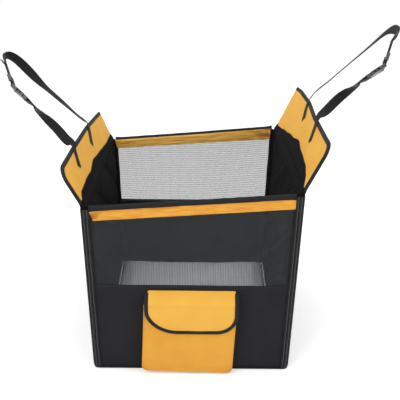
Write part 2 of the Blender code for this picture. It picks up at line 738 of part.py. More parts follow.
def buckle_pieces(name, bar, axes, flap):
    """The socket on the long strap, and the pronged insert on the near one."""
    socket_frame = frame_at(f"{name}_socket", bar, axes.ahead, axes.across, flap)
    half_y, half_z = BUCKLE_WIDTH / 2, BUCKLE_THICKNESS / 2
    low, high = (-BAR / 2 - BAR_MARGIN, -half_y, -half_z), (SOCKET_LENGTH, half_y, half_z)
    socket = box(f"{name}_buckle_socket", low, high, BUCKLE_PLASTIC, socket_frame, BUCKLE_ROUND)
    inner_y, inner_z = half_y - BUCKLE_WALL, half_z - BUCKLE_WALL
    past_x, past_y, past_z = SOCKET_LENGTH + OVERRUN, half_y + OVERRUN, half_z + OVERRUN
    before = -BAR - OVERRUN
    gaps = [
        ((SOCKET_FLOOR, -inner_y, -inner_z), (past_x, inner_y, inner_z)),
        ((WINDOW_START, -past_y, -inner_z), (WINDOW_END, past_y, inner_z)),
        ((BAR / 2, -PASSAGE, -past_z), (BAR / 2 + SLOT, PASSAGE, past_z)),
        ((before, -PASSAGE, BAR / 2), (BAR, PASSAGE, past_z)),
        ((before, -PASSAGE, -past_z), (BAR, PASSAGE, -BAR / 2)),
        ((before, -PASSAGE, -past_z), (-BAR / 2, PASSAGE, past_z)),
    ]
    carve(socket, gaps, socket_frame)

    insert_frame = frame_at(f"{name}_insert", bar, axes.ahead, axes.across, flap)
    half_y, half_z = INSERT_WIDTH / 2, INSERT_THICKNESS / 2
    end = INSERT_BAR + BAR / 2 + BAR_MARGIN
    low, high = (INSERT_START, -half_y, -half_z), (end, half_y, half_z)
    insert = box(f"{name}_buckle_insert", low, high, BUCKLE_PLASTIC, insert_frame, BUCKLE_ROUND)
    tongue_y, tongue_z = TONGUE_WIDTH / 2, TONGUE_THICKNESS / 2
    tongue_end = INSERT_START + INSERT_WEB / 2
    tongue = ((INSERT_START - TONGUE_LENGTH, -tongue_y, -tongue_z), (tongue_end, tongue_y, tongue_z))
    carve(insert, [tongue], insert_frame, "UNION")
    past_z, behind = half_z + OVERRUN, end + OVERRUN
    bar_in, bar_out = INSERT_BAR - BAR / 2, INSERT_BAR + BAR / 2
    gaps = [
        ((INSERT_START + INSERT_WEB, -PASSAGE, -past_z), (bar_in, PASSAGE, past_z)),
        ((INSERT_START + INSERT_WEB, -PASSAGE, BAR / 2), (behind, PASSAGE, past_z)),
        ((INSERT_START + INSERT_WEB, -PASSAGE, -past_z), (behind, PASSAGE, -BAR / 2)),
        ((bar_out, -PASSAGE, -past_z), (behind, PASSAGE, past_z)),
    ]
    carve(insert, gaps, insert_frame)

    for prong_name, hand in (("a", 1), ("b", -1)):
        pivot = bar + axes.ahead * PRONG_PIVOT + axes.across * (hand * PRONG_SPREAD)
        pivot_name = f"{name}_prong_{prong_name}_pivot"
        prong_frame = frame_at(pivot_name, pivot, axes.ahead, axes.across, insert_frame)
        arm = hand * PRONG / 2
        bulge = hand * (PRONG / 2 + SHOULDER)
        tip = -PRONG_LENGTH
        root = [(hand * x, hand * y) for x, y in arc((0, 0), PRONG / 2, -pi / 2, pi / 2)]
        if hand < 0:
            root = [(-x, y) for x, y in root]
        outline = root + [
            (tip + SHOULDER_LENGTH, arm),
            (tip + SHOULDER_LENGTH - SHOULDER / 2, bulge),
            (tip + SHOULDER, bulge),
            (tip, arm),
            (tip, -arm),
        ]
        prong = plate(
            f"{name}_buckle_prong_{prong_name}",
            outline,
            PRONG_THICKNESS,
            (0, 0, 0),
            LYING,
            BUCKLE_PLASTIC,
            prong_frame,
        )
        bevel(prong, PRONG / 8, 1)


def side_pieces(name, shape):
    axis = wall_pieces(name, shape)
    flap = flap_pieces(name, shape, axis)
    plane = StrapPlane(shape, axis)
    bar, axes = strap_pieces(name, shape, plane, flap)
    slider_piece(name, bar, axes, flap)
    buckle_pieces(name, bar, axes, flap)


def pocket_edge(inset):
    """The sides and bottom of the pocket, from the top left round to the top right."""
    half, radius = POCKET_WIDTH / 2 - inset, POCKET_CORNER - inset
    low, tall = POCKET_BOTTOM + inset, POCKET_TOP - POCKET_BOTTOM
    line = [(-half, POCKET_TOP)]
    line += arc((-half + radius, low + radius), radius, pi, 3 * pi / 2)
    line += arc((half - radius, low + radius), radius, 3 * pi / 2, 2 * pi)
    line += [(half, POCKET_TOP)]
    return [(x + POCKET_CENTRE + POCKET_LEAN * (POCKET_TOP - z) / tall, z) for x, z in line]


def flap_fall(distance, crease_y, hinge_y):
    """Where a point lies on the pocket's flap, that far down from its hinge."""
    slope = Vector((0, crease_y - hinge_y, FLAP_CREASE - FLAP_HINGE))
    if distance < slope.length:
        return Vector((0, hinge_y, FLAP_HINGE)) + slope.normalized() * distance
    return Vector((0, crease_y, FLAP_CREASE - (distance - slope.length)))


def pocket_pieces():
    face_y = FRONT_FACE - POCKET_DEPTH
    front_mid = (0, face_y + POCKET_CLOTH / 2, 0)
    plate("pocket_front", pocket_edge(0.0), POCKET_CLOTH, front_mid, FACING_Y, YELLOW_CLOTH)
    depth = POCKET_DEPTH - POCKET_CLOTH - 2 * CLEARANCE
    middle_y = FRONT_FACE - CLEARANCE - depth / 2
    world = frame_at("pocket", (0, 0, 0))
    line = pocket_edge(POCKET_CLOTH / 2)
    path = [station(Vector((x, middle_y, z)), 0.0) for x, z in line]
    normals = []
    for before, after in zip([line[0]] + line[:-1], line[1:] + [line[-1]]):
        run = Vector((after[0] - before[0], 0, after[1] - before[1])).normalized()
        normals.append(Vector((-run.z, 0, run.x)))
    ribbon("pocket_gusset", path, normals, depth, POCKET_CLOTH, YELLOW_CLOTH, world)

    hinge_y = FRONT_FACE - CLEARANCE - POCKET_FLAP / 2
    crease_y = face_y - 3 * CLEARANCE - 2 * PATCH - POCKET_FLAP / 2
    hinge = frame_at("pocket_flap_hinge", (0, hinge_y, FLAP_HINGE))
    away = Matrix.Translation((0, -hinge_y, -FLAP_HINGE))
    slope_length = sqrt((crease_y - hinge_y) ** 2 + (FLAP_CREASE - FLAP_HINGE) ** 2)
    reach = slope_length + FLAP_CREASE - FLAP_BOTTOM

    def half_width(down, inset):
        """Half the flap's width that far down, with its big lower corners elliptical."""
        tall, wide = FLAP_CORNER_TALL - inset, FLAP_CORNER_WIDE - inset
        over = max(down - (reach - FLAP_CORNER_TALL), 0) / tall
        return FLAP_WIDTH / 2 - inset - wide * (1 - sqrt(max(1 - over**2, 0)))

    def corner_stops(inset, start):
        straight = reach - FLAP_CORNER_TALL
        stops = [start, slope_length * 0.5, slope_length, (slope_length + straight) / 2]
        tall = FLAP_CORNER_TALL - inset
        return stops + [straight + tall * sin(pi / 2 * step / 8) for step in range(9)]

    inset = BINDING + CLEARANCE
    bm = bmesh.new()
    rows = []
    for down in corner_stops(inset, 0.0):
        place = away @ flap_fall(down, crease_y, hinge_y)
        half = half_width(down, inset)
        shares = [step / 4 - 1 for step in range(9)]
        rows.append([bm.verts.new(place + Vector((FLAP_CENTRE + half * u, 0, 0))) for u in shares])
    for upper, lower in zip(rows, rows[1:]):
        for a, b, c, d in zip(upper, upper[1:], lower[1:], lower):
            bm.faces.new((a, b, c, d))
    cloth = add("pocket_flap", mesh_from("pocket_flap", bm), YELLOW_CLOTH, hinge)
    thicken(cloth, POCKET_FLAP)

    bm = bmesh.new()
    rows = []
    for hand in (-1, 1):
        downs = zip(corner_stops(0.0, FLAP_EDGE_START), corner_stops(BINDING, FLAP_EDGE_START))
        side_rows = []
        for outer_down, inner_down in downs:
            row = []
            for down, edge_inset in ((outer_down, 0.0), (inner_down, BINDING)):
                x = FLAP_CENTRE + hand * half_width(down, edge_inset)
                place = away @ flap_fall(down, crease_y, hinge_y)
                row.append(bm.verts.new(place + Vector((x, 0, 0))))
            side_rows.append(row)
        rows += side_rows if hand < 0 else side_rows[::-1]
    for (a, b), (c, d) in zip(rows, rows[1:]):
        bm.faces.new((a, b, d, c))
    edge = add("pocket_flap_binding", mesh_from("pocket_flap_binding", bm), BINDING_TAPE, hinge)
    thicken(edge, FLAP_EDGE)

    left, right = FLAP_CENTRE - PATCH_WIDTH / 2, FLAP_CENTRE + PATCH_WIDTH / 2
    top = PATCH_BOTTOM + PATCH_HEIGHT
    hook_y = face_y - CLEARANCE
    hook_front = hook_y - PATCH
    box("pocket_hook_patch", (left, hook_y, PATCH_BOTTOM), (right, hook_front, top), HOOK_TAPE)
    loop_y = hook_front - CLEARANCE - hinge_y
    low, high = (left, loop_y, PATCH_BOTTOM - FLAP_HINGE), (right, loop_y - PATCH, top - FLAP_HINGE)
    box("pocket_loop_patch", low, high, HOOK_TAPE, hinge)


floor_pieces()
end_pieces("front", -1)
end_pieces("back", 1)
for side_name, side_shape in SIDES.items():
    side_pieces(side_name, side_shape)
pocket_pieces()
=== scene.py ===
from math import atan, cos, exp, pi, radians, sin, sqrt, tan

import bpy
from mathutils import Matrix, Quaternion, Vector, noise


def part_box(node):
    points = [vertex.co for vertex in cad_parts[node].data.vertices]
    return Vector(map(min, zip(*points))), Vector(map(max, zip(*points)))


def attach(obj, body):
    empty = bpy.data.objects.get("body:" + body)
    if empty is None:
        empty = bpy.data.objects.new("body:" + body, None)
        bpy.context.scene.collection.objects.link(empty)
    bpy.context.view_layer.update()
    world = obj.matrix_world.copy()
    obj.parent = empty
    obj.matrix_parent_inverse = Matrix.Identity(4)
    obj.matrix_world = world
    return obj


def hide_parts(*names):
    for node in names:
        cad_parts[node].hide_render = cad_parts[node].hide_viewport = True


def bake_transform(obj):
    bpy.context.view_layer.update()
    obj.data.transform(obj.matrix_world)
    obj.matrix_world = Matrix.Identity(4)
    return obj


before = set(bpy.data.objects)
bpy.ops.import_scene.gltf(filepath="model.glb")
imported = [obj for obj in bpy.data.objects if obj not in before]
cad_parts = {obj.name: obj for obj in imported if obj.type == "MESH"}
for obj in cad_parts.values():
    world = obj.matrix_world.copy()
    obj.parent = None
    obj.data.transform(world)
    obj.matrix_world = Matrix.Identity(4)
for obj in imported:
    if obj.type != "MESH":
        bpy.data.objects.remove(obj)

# A soft car seat for pets: cloth, quilting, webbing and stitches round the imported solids.
# Lengths are in metres, in the frame's own axes. Left and right are as the camera sees them.
scene = bpy.context.scene
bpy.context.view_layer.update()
yUnit, zUnit = Vector((0, 1, 0)), Vector((0, 0, 1))


# Camera, light and floor
view = {
    "place": (0.00692, -1.80813, 1.09936),
    "target": (0.021, 0.0, 0.372),
    "roll": radians(0.731),
    "lens": 60.09,
    "sensor": 36.0,
    "farthest": 60.0,
    "ambient": 0.71,
    "floorSize": 9.0,
    "floorDrop": 0.0008,
    "lampTarget": (0, 0, 0.3),
    "lamps": [
        {"name": "keyLamp", "place": (-1.5, -2.1, 2.6), "size": 1.7, "power": 38},
        {"name": "fillLamp", "place": (2.0, -1.6, 1.7), "size": 1.6, "power": 19},
        {"name": "topLamp", "place": (0.1, 0.6, 2.9), "size": 2.2, "power": 28},
    ],
}


def aimed(place, target):
    return (Vector(target) - Vector(place)).to_track_quat("-Z", "Y")


def addToScene(name, data):
    made = bpy.data.objects.new(name, data)
    scene.collection.objects.link(made)
    return made


camera = addToScene("photoCamera", bpy.data.cameras.new("photoCamera"))
camera.location = view["place"]
camera.rotation_mode = "QUATERNION"
camera.rotation_quaternion = aimed(view["place"], view["target"]) @ Quaternion((0, 0, 1), view["roll"])
camera.data.lens = view["lens"]
camera.data.sensor_width = view["sensor"]
camera.data.clip_end = view["farthest"]
scene.camera = camera
scene.view_settings.view_transform = "Standard"

for lamp in view["lamps"]:
    light = bpy.data.lights.new(lamp["name"], "AREA")
    light.energy = lamp["power"]
    light.size = lamp["size"]
    holder = addToScene(lamp["name"], light)
    holder.location = lamp["place"]
    holder.rotation_mode = "QUATERNION"
    holder.rotation_quaternion = aimed(lamp["place"], view["lampTarget"])


# Materials
class Flow:
    # A value or colour inside a material. Sums on it add the Math nodes that work them out.
    def __init__(self, finish, socket):
        self.finish = finish
        self.socket = socket

    def maths(self, operation, first, second):
        return self.finish.make("ShaderNodeMath", {"operation": operation}, {0: first, 1: second})

    def __add__(self, other):
        return self.maths("ADD", self, other)

    def __sub__(self, other):
        return self.maths("SUBTRACT", self, other)

    def __rsub__(self, other):
        return self.maths("SUBTRACT", other, self)

    def __mul__(self, other):
        return self.maths("MULTIPLY", self, other)

    def __lt__(self, other):
        return self.maths("LESS_THAN", self, other)

    def sine(self):
        return self.maths("SINE", self, 0.0)

    def size(self):
        return self.maths("ABSOLUTE", self, 0.0)

    def larger(self, other):
        return self.maths("MAXIMUM", self, other)

    def ridges(self, pitch):
        # Even waves that far apart, from 0 to 1.
        return (self * (2 * pi / pitch)).sine() * 0.5 + 0.5

    __radd__ = __add__
    __rmul__ = __mul__


class Finish:
    # One material: its steady values, and a method that makes and joins any node.
    def __init__(self, name, tree=None, **steady):
        if tree is None:
            self.material = bpy.data.materials.new(name)
            self.material.use_nodes = True
            tree = self.material.node_tree
        self.nodes = tree.nodes
        self.links = tree.links
        self.shader = self.nodes.get("Principled BSDF")
        for socket, value in steady.items():
            self.put(self.shader.inputs[socket.replace("_", " ")], value)

    def put(self, socket, value):
        if isinstance(value, Flow):
            self.links.new(value.socket, socket)
        else:
            socket.default_value = value

    def make(self, kind, settings=None, sockets=None, output=0):
        node = self.nodes.new(kind)
        for setting, value in (settings or {}).items():
            setattr(node, setting, value)
        for socket, value in (sockets or {}).items():
            self.put(node.inputs[socket], value)
        return Flow(self, node.outputs[output])

    def spot(self):
        return self.make("ShaderNodeTexCoord", output="Object")

    def axes(self):
        parts = self.make("ShaderNodeSeparateXYZ", sockets={0: self.spot()})
        return [Flow(self, socket) for socket in parts.socket.node.outputs]

    def mark(self, name):
        return self.make("ShaderNodeAttribute", {"attribute_name": name}, output="Fac")

    def speckle(self, size, detail=2.0, roughness=0.5, vector=None):
        place = vector or self.spot()
        sockets = {"Vector": place, "Scale": 1 / size, "Detail": detail, "Roughness": roughness}
        return self.make("ShaderNodeTexNoise", sockets=sockets)

    def stretched(self, scale):
        return self.make("ShaderNodeMapping", sockets={"Vector": self.spot(), "Scale": scale})

    def blended(self, share, first, second):
        sockets = {0: share, 6: first, 7: second}
        return self.make("ShaderNodeMix", {"data_type": "RGBA"}, sockets, output=2)

    def spread(self, value, low, high):
        sockets = {"Value": value, "From Min": low, "From Max": high}
        return self.make("ShaderNodeMapRange", sockets=sockets)

    def raised(self, height, strength):
        sockets = {"Height": height, "Distance": 1.0, "Strength": strength}
        self.put(self.shader.inputs["Normal"], self.make("ShaderNodeBump", sockets=sockets))

    def coloured(self, colour):
        self.put(self.shader.inputs["Base Color"], colour)

    def rough(self, value):
        self.put(self.shader.inputs["Roughness"], value)


def shade(colour, factor=1.0):
    return (colour[0] * factor, colour[1] * factor, colour[2] * factor, 1.0)


white = shade((1.0, 1.0, 1.0))
clothLook = {
    "thread": 0.0011, "weaveDepth": 0.00035, "weaveShare": 0.05,
    "fibre": 0.0016, "fibreDetail": 1.0, "fibreShare": 0.16, "fibreShadow": 0.86,
    "grain": (0.055, 0.055, 0.055), "bandShadeStreaks": (0.05, 0.05, 0.0055), "grainDetail": 3.0,
    "patches": (0.32, 0.68), "creases": (0.4, 0.6), "unevenness": (0.2, 0.8), "roughSpan": 0.1,
    "crumple": 0.03, "crumpleDepth": 0.0022, "crumpleDetail": 2.5, "crumpleRoughness": 0.45, "relief": 0.55,
}


def clothFinish(name, colour, shadow, roughness, crumple=1.0, gloss=0.2, grain=None, tuck=None):
    # Coated woven polyester: a fine plain weave, faint mottling and soft crumples. Stretched grain
    # turns the mottling's darker tone into streaks of painted shade. A tuck is painted shade: darker
    # creases along a stretch of a band, from a place on the x axis to its reach from there.
    look = clothLook
    made = Finish(name, Specular_IOR_Level=gloss)
    x, y, z = made.axes()
    turns = 2 * pi / look["thread"]
    weave = ((x + y) * turns).sine() * ((z + y) * turns).sine()
    grains = made.stretched([1 / size for size in grain or look["grain"]])
    mottle = made.speckle(1.0, look["grainDetail"], vector=grains)
    cloth = made.blended(made.spread(mottle, *look["patches"]), shade(shadow), shade(colour))
    if tuck:
        # Painted shade: the creases near the tuck are darkened toward its crease shade colour.
        near = made.spread(x, tuck["at"] + tuck["reach"], tuck["at"])
        creases = made.spread(made.speckle(1.0, vector=made.stretched(tuck["grain"])), *look["creases"])
        cloth = made.blended(near * creases, cloth, shade(tuck["dye"]))
    worn = weave * look["weaveShare"] + made.speckle(look["fibre"], look["fibreDetail"]) * look["fibreShare"]
    made.coloured(made.blended(worn, cloth, shade(shadow, look["fibreShadow"])))
    uneven = made.spread(mottle, *look["unevenness"]) * look["roughSpan"]
    made.rough(uneven + (roughness - look["roughSpan"] / 2))
    folds = made.speckle(look["crumple"], look["crumpleDetail"], look["crumpleRoughness"])
    made.raised(folds * (look["crumpleDepth"] * crumple) + weave * look["weaveDepth"], look["relief"])
    return made.material


tapeLook = {
    "gloss": 0.13, "rib": 0.0016, "edge": 0.005, "wear": 0.02, "wearDetail": 3.0, "worn": (0.35, 0.75),
    "wornShare": 0.5, "ribShare": 0.3, "dust": 0.004, "roughSpan": 0.15, "roughness": 0.58,
    "ribDepth": 0.0004, "edgeDepth": 0.0001, "wearDepth": 0.0008, "relief": 0.7,
}


def tapeFinish(name, colour, light):
    # Ribbed binding tape. The piece's own marks say how far along and across the tape a point is.
    look = tapeLook
    made = Finish(name, Specular_IOR_Level=look["gloss"])
    ribs, edges = made.mark("along").ridges(look["rib"]), made.mark("across").ridges(look["edge"])
    wear = made.speckle(look["wear"], look["wearDetail"])
    paler = made.spread(wear, *look["worn"]) * look["wornShare"] + ribs * look["ribShare"]
    made.coloured(made.blended(paler, shade(colour), shade(light)))
    made.rough(made.speckle(look["dust"]) * look["roughSpan"] + look["roughness"])
    height = ribs * look["ribDepth"] + edges * look["edgeDepth"] + wear * look["wearDepth"]
    made.raised(height, look["relief"])
    return made.material


webbingLook = {
    "gloss": 0.13, "twill": 0.0021, "slant": 0.7, "row": 0.0016, "border": 0.0108, "borderWeave": 0.4,
    "fade": 0.05, "weaveShare": 0.55, "fadeShare": 0.25, "dust": 0.003, "roughSpan": 0.16, "roughness": 0.5,
    "weaveDepth": 0.0005, "fibre": 0.0012, "fibreDetail": 1.0, "fibreDepth": 0.0001, "relief": 0.8,
}


def webbingFinish(name, colour, light):
    # Woven webbing: slanting twill ribs, and a smoother woven border on both edges.
    look = webbingLook
    made = Finish(name, Specular_IOR_Level=look["gloss"])
    along, across = made.mark("along"), made.mark("across")
    twill = (along + across * look["slant"]).ridges(look["twill"])
    middle = across.size() < look["border"]
    weave = twill * across.ridges(look["row"]) * middle + (1 - middle) * look["borderWeave"]
    paler = weave * look["weaveShare"] + made.speckle(look["fade"]) * look["fadeShare"]
    made.coloured(made.blended(paler, shade(colour), shade(light)))
    made.rough(made.speckle(look["dust"]) * look["roughSpan"] + look["roughness"])
    fibres = made.speckle(look["fibre"], look["fibreDetail"]) * look["fibreDepth"]
    made.raised(weave * look["weaveDepth"] + fibres, look["relief"])
    return made.material


meshLook = {
    "sheen": 0.1, "gloss": 0.3, "ruling": 0.0066, "blur": 0.42, "drift": 0.12, "driftDepth": 0.003,
    "ruleDrift": 1.5, "speck": 0.002, "paler": 1.7, "roughSpan": 0.2, "roughness": 0.6,
    "uprightDepth": 0.0004, "levelDepth": 0.0003, "relief": 0.5,
}


def meshFinish(name, colour, pitch, strand, upright, bend, rulingDepth):
    # Open knitted mesh: strands in both directions, with holes between them. The strands are
    # heavier along the rulings, which stand upright or lie level and bend a little.
    look = meshLook
    made = Finish(name, Sheen_Weight=look["sheen"], Specular_IOR_Level=look["gloss"])
    x, y, z = made.axes()
    drift = made.speckle(look["drift"], 1.0) * look["driftDepth"]
    uprights, levels = (((axis + drift) * (pi / pitch)).sine().size() for axis in (x, z))
    first, second = (x, z) if upright else (z, x)
    ruled = first + second * second * bend + drift * look["ruleDrift"]
    lines = (ruled * (2 * pi / look["ruling"])).sine() * rulingDepth
    blur = look["blur"]
    standing, lying = (made.spread(lines + strand - wave, -blur, blur) for wave in (uprights, levels))
    made.put(made.shader.inputs["Alpha"], standing.larger(lying))
    made.coloured(made.blended(made.speckle(look["speck"]), shade(colour), shade(colour, look["paler"])))
    made.rough(made.speckle(look["speck"], 1.0) * look["roughSpan"] + look["roughness"])
    made.raised((1 - uprights) * look["uprightDepth"] + (1 - levels) * look["levelDepth"], look["relief"])
    return made.material


padLook = {
    "sheen": 0.35, "sheenRoughness": 0.5, "gloss": 0.25, "hollow": 0.045, "hollows": (0.3, 0.7),
    "nap": 0.0015, "detail": 3.0, "napRoughness": 0.7, "hollowShare": 0.6, "napShare": 0.4,
    "roughSpan": 0.12, "roughness": 0.82, "napDepth": 0.0007, "hollowDepth": 0.003, "relief": 0.6,
}


def padFinish(name, colour, shadow):
    # Brushed pad cloth: soft nap with shallow hollows.
    look = padLook
    steady = {"Sheen_Weight": look["sheen"], "Sheen_Roughness": look["sheenRoughness"]}
    made = Finish(name, Specular_IOR_Level=look["gloss"], **steady)
    hollow = made.speckle(look["hollow"], look["detail"])
    nap = made.speckle(look["nap"], look["detail"], look["napRoughness"])
    lit = made.spread(hollow, *look["hollows"]) * look["hollowShare"] + nap * look["napShare"]
    made.coloured(made.blended(lit, shade(shadow), shade(colour)))
    made.rough(nap * look["roughSpan"] + look["roughness"])
    made.raised(nap * look["napDepth"] + hollow * look["hollowDepth"], look["relief"])
    return made.material


plasticLook = {
    "gloss": 0.5, "coatRoughness": 0.3, "sparkRoughness": 0.6, "scuff": 0.011, "scuffDetail": 4.0,
    "scuffRoughness": 0.65, "scuffs": (0.52, 0.78), "scuffShare": 0.7, "scuffRough": 0.16,
    "sparkRough": 0.08, "coat": 0.12, "sparkDepth": 0.0001, "scuffDepth": 0.00003, "relief": 0.6,
}


def plasticFinish(name, colour, light, roughness, grain=0.0006):
    # Moulded plastic: a fine spark grain, with scuffs that are lighter and rougher.
    look = plasticLook
    made = Finish(name, Specular_IOR_Level=look["gloss"], Coat_Roughness=look["coatRoughness"])
    spark = made.speckle(grain, roughness=look["sparkRoughness"])
    marks = made.speckle(look["scuff"], look["scuffDetail"], look["scuffRoughness"])
    scuff = made.spread(marks, *look["scuffs"])
    made.coloured(made.blended(scuff * look["scuffShare"], shade(colour), shade(light)))
    made.rough(scuff * look["scuffRough"] + spark * look["sparkRough"] + roughness)
    made.put(made.shader.inputs["Coat Weight"], (1 - scuff) * look["coat"])
    made.raised(spark * look["sparkDepth"] + scuff * look["scuffDepth"], look["relief"])
    return made.material


loopLook = {
    "sheen": 0.3, "gloss": 0.2, "curlsPerMetre": 1100.0, "roughSpan": 0.1, "roughness": 0.85,
    "curlDepth": 0.0006, "fluff": 0.001, "fluffDetail": 3.0, "fluffDepth": 0.0004, "relief": 0.9,
}


def loopFinish(name, colour, light):
    # Hook and loop tape: a dense field of tiny curls.
    look = loopLook
    made = Finish(name, Sheen_Weight=look["sheen"], Specular_IOR_Level=look["gloss"])
    sockets = {"Vector": made.spot(), "Scale": look["curlsPerMetre"]}
    curls = made.make("ShaderNodeTexVoronoi", sockets=sockets)
    made.coloured(made.blended(curls, shade(colour), shade(light)))
    made.rough(curls * look["roughSpan"] + look["roughness"])
    fluff = made.speckle(look["fluff"], look["fluffDetail"]) * look["fluffDepth"]
    made.raised(curls * look["curlDepth"] + fluff, look["relief"])
    return made.material


threadLook = {
    "sheen": 0.2, "gloss": 0.4, "ply": 0.0006, "dark": 0.75, "light": 1.2, "roughSpan": 0.15,
    "roughness": 0.5, "depth": 0.0002, "relief": 0.6,
}


def threadFinish(name, colour):
    look = threadLook
    made = Finish(name, Sheen_Weight=look["sheen"], Specular_IOR_Level=look["gloss"])
    ply = made.speckle(look["ply"])
    made.coloured(made.blended(ply, shade(colour, look["dark"]), shade(colour, look["light"])))
    made.rough(ply * look["roughSpan"] + look["roughness"])
    made.raised(ply * look["depth"], look["relief"])
    return made.material


groundLook = {
    "colour": (0.9, 0.9, 0.9), "gloss": 0.1, "patch": 0.4, "roughSpan": 0.05, "roughness": 0.85,
    "glow": 0.32,
}


def floorFinish():
    # Plain white floor. The camera sees a little glow from it, which keeps the seat's shadow soft.
    look = groundLook
    made = Finish("paleFloor", Base_Color=shade(look["colour"]), Specular_IOR_Level=look["gloss"])
    made.rough(made.speckle(look["patch"], 1.0) * look["roughSpan"] + look["roughness"])
    outputs = made.make("ShaderNodeLightPath").socket.node.outputs
    seen = Flow(made, outputs["Is Camera Ray"]).larger(Flow(made, outputs["Is Glossy Ray"]))
    made.put(made.shader.inputs["Emission Color"], white)
    glow = made.make("ShaderNodeEmission", sockets={"Color": white, "Strength": look["glow"]})
    plain = Flow(made, made.shader.outputs[0])
    both = made.make("ShaderNodeAddShader", sockets={0: plain, 1: glow})
    picked = made.make("ShaderNodeMixShader", sockets={0: seen, 1: plain, 2: both})
    made.put(made.nodes["Material Output"].inputs["Surface"], picked)
    return made.material


# Each finish: the record's slot, the function that makes it, and its own values.
finishLooks = {
    "blackCloth": ("black_cloth", clothFinish, {
        "colour": (0.0205, 0.02, 0.0225), "shadow": (0.0165, 0.016, 0.0185), "roughness": 0.76,
        "gloss": 0.12,
    }),
    "liningCloth": ("black_cloth", clothFinish, {
        "colour": (0.0075, 0.0075, 0.0082), "shadow": (0.0052, 0.0052, 0.0058), "roughness": 0.82,
        "crumple": 1.3, "gloss": 0.05,
    }),
    "flapYellow": ("yellow_cloth", clothFinish, {
        "colour": (0.9, 0.49, 0.078), "shadow": (0.85, 0.445, 0.064), "roughness": 0.7, "crumple": 0.5,
    }),
    "pocketYellow": ("yellow_cloth", clothFinish, {
        "colour": (0.83, 0.405, 0.056), "shadow": (0.78, 0.365, 0.046), "roughness": 0.72, "crumple": 0.8,
    }),
    # Front band: stretched streaks of painted fold shade, and painted shade in the creases of the tuck at
    # its left end.
    "bandYellow": ("yellow_cloth", clothFinish, {
        "colour": (0.9, 0.465, 0.07), "shadow": (0.72, 0.28, 0.026), "roughness": 0.55, "crumple": 1.6,
        "grain": clothLook["bandShadeStreaks"],
        "tuck": {"at": -0.257, "reach": 0.044, "grain": (45, 45, 150), "dye": (0.13, 0.04, 0.01)},
    }),
    # Painted light: a brighter copy of the band's yellow, to make up for the weak light on the back band.
    # Its streaks and the tuck at its right end are painted shade.
    "backBandYellow": ("yellow_cloth", clothFinish, {
        "colour": (1.0, 0.63, 0.15), "shadow": (0.96, 0.49, 0.085), "roughness": 0.6, "crumple": 1.2,
        "grain": clothLook["bandShadeStreaks"],
        "tuck": {"at": 0.262, "reach": -0.11, "grain": (22, 22, 120), "dye": (0.42, 0.13, 0.018)},
    }),
    "padCloth": ("grey_pad", padFinish, {"colour": (0.8, 0.83, 0.87), "shadow": (0.7, 0.73, 0.77)}),
    "frontMesh": ("dark_mesh", meshFinish, {
        "colour": (0.022, 0.026, 0.029), "pitch": 0.003, "strand": 0.46,
        "upright": True, "bend": 0.05, "rulingDepth": 0.075,
    }),
    "backMesh": ("dark_mesh", meshFinish, {
        "colour": (0.046, 0.05, 0.056), "pitch": 0.003, "strand": 0.6,
        "upright": False, "bend": 0.12, "rulingDepth": 0.11,
    }),
    "bindingTape": ("binding_tape", tapeFinish, {
        "colour": (0.011, 0.011, 0.0115), "light": (0.03, 0.03, 0.031),
    }),
    "webbing": ("webbing", webbingFinish, {
        "colour": (0.0085, 0.0085, 0.009), "light": (0.026, 0.026, 0.028),
    }),
    "bucklePlastic": ("buckle_plastic", plasticFinish, {
        "colour": (0.03, 0.031, 0.033), "light": (0.09, 0.092, 0.096), "roughness": 0.3,
    }),
    "railPlastic": ("rail_plastic", plasticFinish, {
        "colour": (0.58, 0.58, 0.55), "light": (0.66, 0.66, 0.63), "roughness": 0.4,
    }),
    "boardPlastic": ("stiff_board", plasticFinish, {
        "colour": (0.17, 0.17, 0.17), "light": (0.24, 0.24, 0.23), "roughness": 0.55, "grain": 0.0012,
    }),
    "hookTape": ("hook_tape", loopFinish, {"colour": (0.018, 0.018, 0.018), "light": (0.06, 0.06, 0.06)}),
    "blackThread": ("binding_tape", threadFinish, {"colour": (0.022, 0.022, 0.024)}),
    # Grey thread for the quilting stitches. The same light grey on the wall edges' cords is a painted
    # highlight.
    "greyThread": ("binding_tape", threadFinish, {"colour": (0.056, 0.056, 0.059)}),
    "yellowThread": ("yellow_cloth", threadFinish, {"colour": (0.62, 0.28, 0.045)}),
}
finishes = {name: make(name, **look) for name, (slot, make, look) in finishLooks.items()}
print("materials made")

floorHalf = view["floorSize"] / 2
floorMesh = bpy.data.meshes.new("paleFloor")
floorShares = [(-1, -1), (1, -1), (1, 1), (-1, 1)]
floorCorners = [(x * floorHalf, y * floorHalf, -view["floorDrop"]) for x, y in floorShares]
floorMesh.from_pydata(floorCorners, [], [(0, 1, 2, 3)])
floorMesh.materials.append(floorFinish())
addToScene("paleFloor", floorMesh)

world = bpy.data.worlds.new("studio")
world.use_nodes = True
scene.world = world
sky = Finish("studio", world.node_tree)
skyPath = sky.make("ShaderNodeLightPath").socket.node.outputs
direct = Flow(sky, skyPath["Is Camera Ray"]).larger(Flow(sky, skyPath["Is Transmission Ray"]))
openSky = direct.larger(Flow(sky, skyPath["Is Glossy Ray"]))
background = world.node_tree.nodes["Background"]
sky.put(background.inputs["Strength"], openSky * (1 - view["ambient"]) + view["ambient"])
sky.put(background.inputs["Color"], white)
print("camera, lights and floor set")


# Mesh helpers
edgeAngles = {"cloth": 50, "strip": 60, "pad": 70, "edge": 65, "stitches": 80, "ribs": 40}


def between(low, high, share):
    return low + (high - low) * share


def evenSteps(low, high, count):
    return [between(low, high, step / count) for step in range(count + 1)]


def clamped(value, low=0.0, high=1.0):
    return min(max(value, low), high)


def nearness(gap, width):
    # A soft hump: 1 where the gap is nothing, and hardly anything beyond two widths.
    return exp(-((gap / width) ** 2))


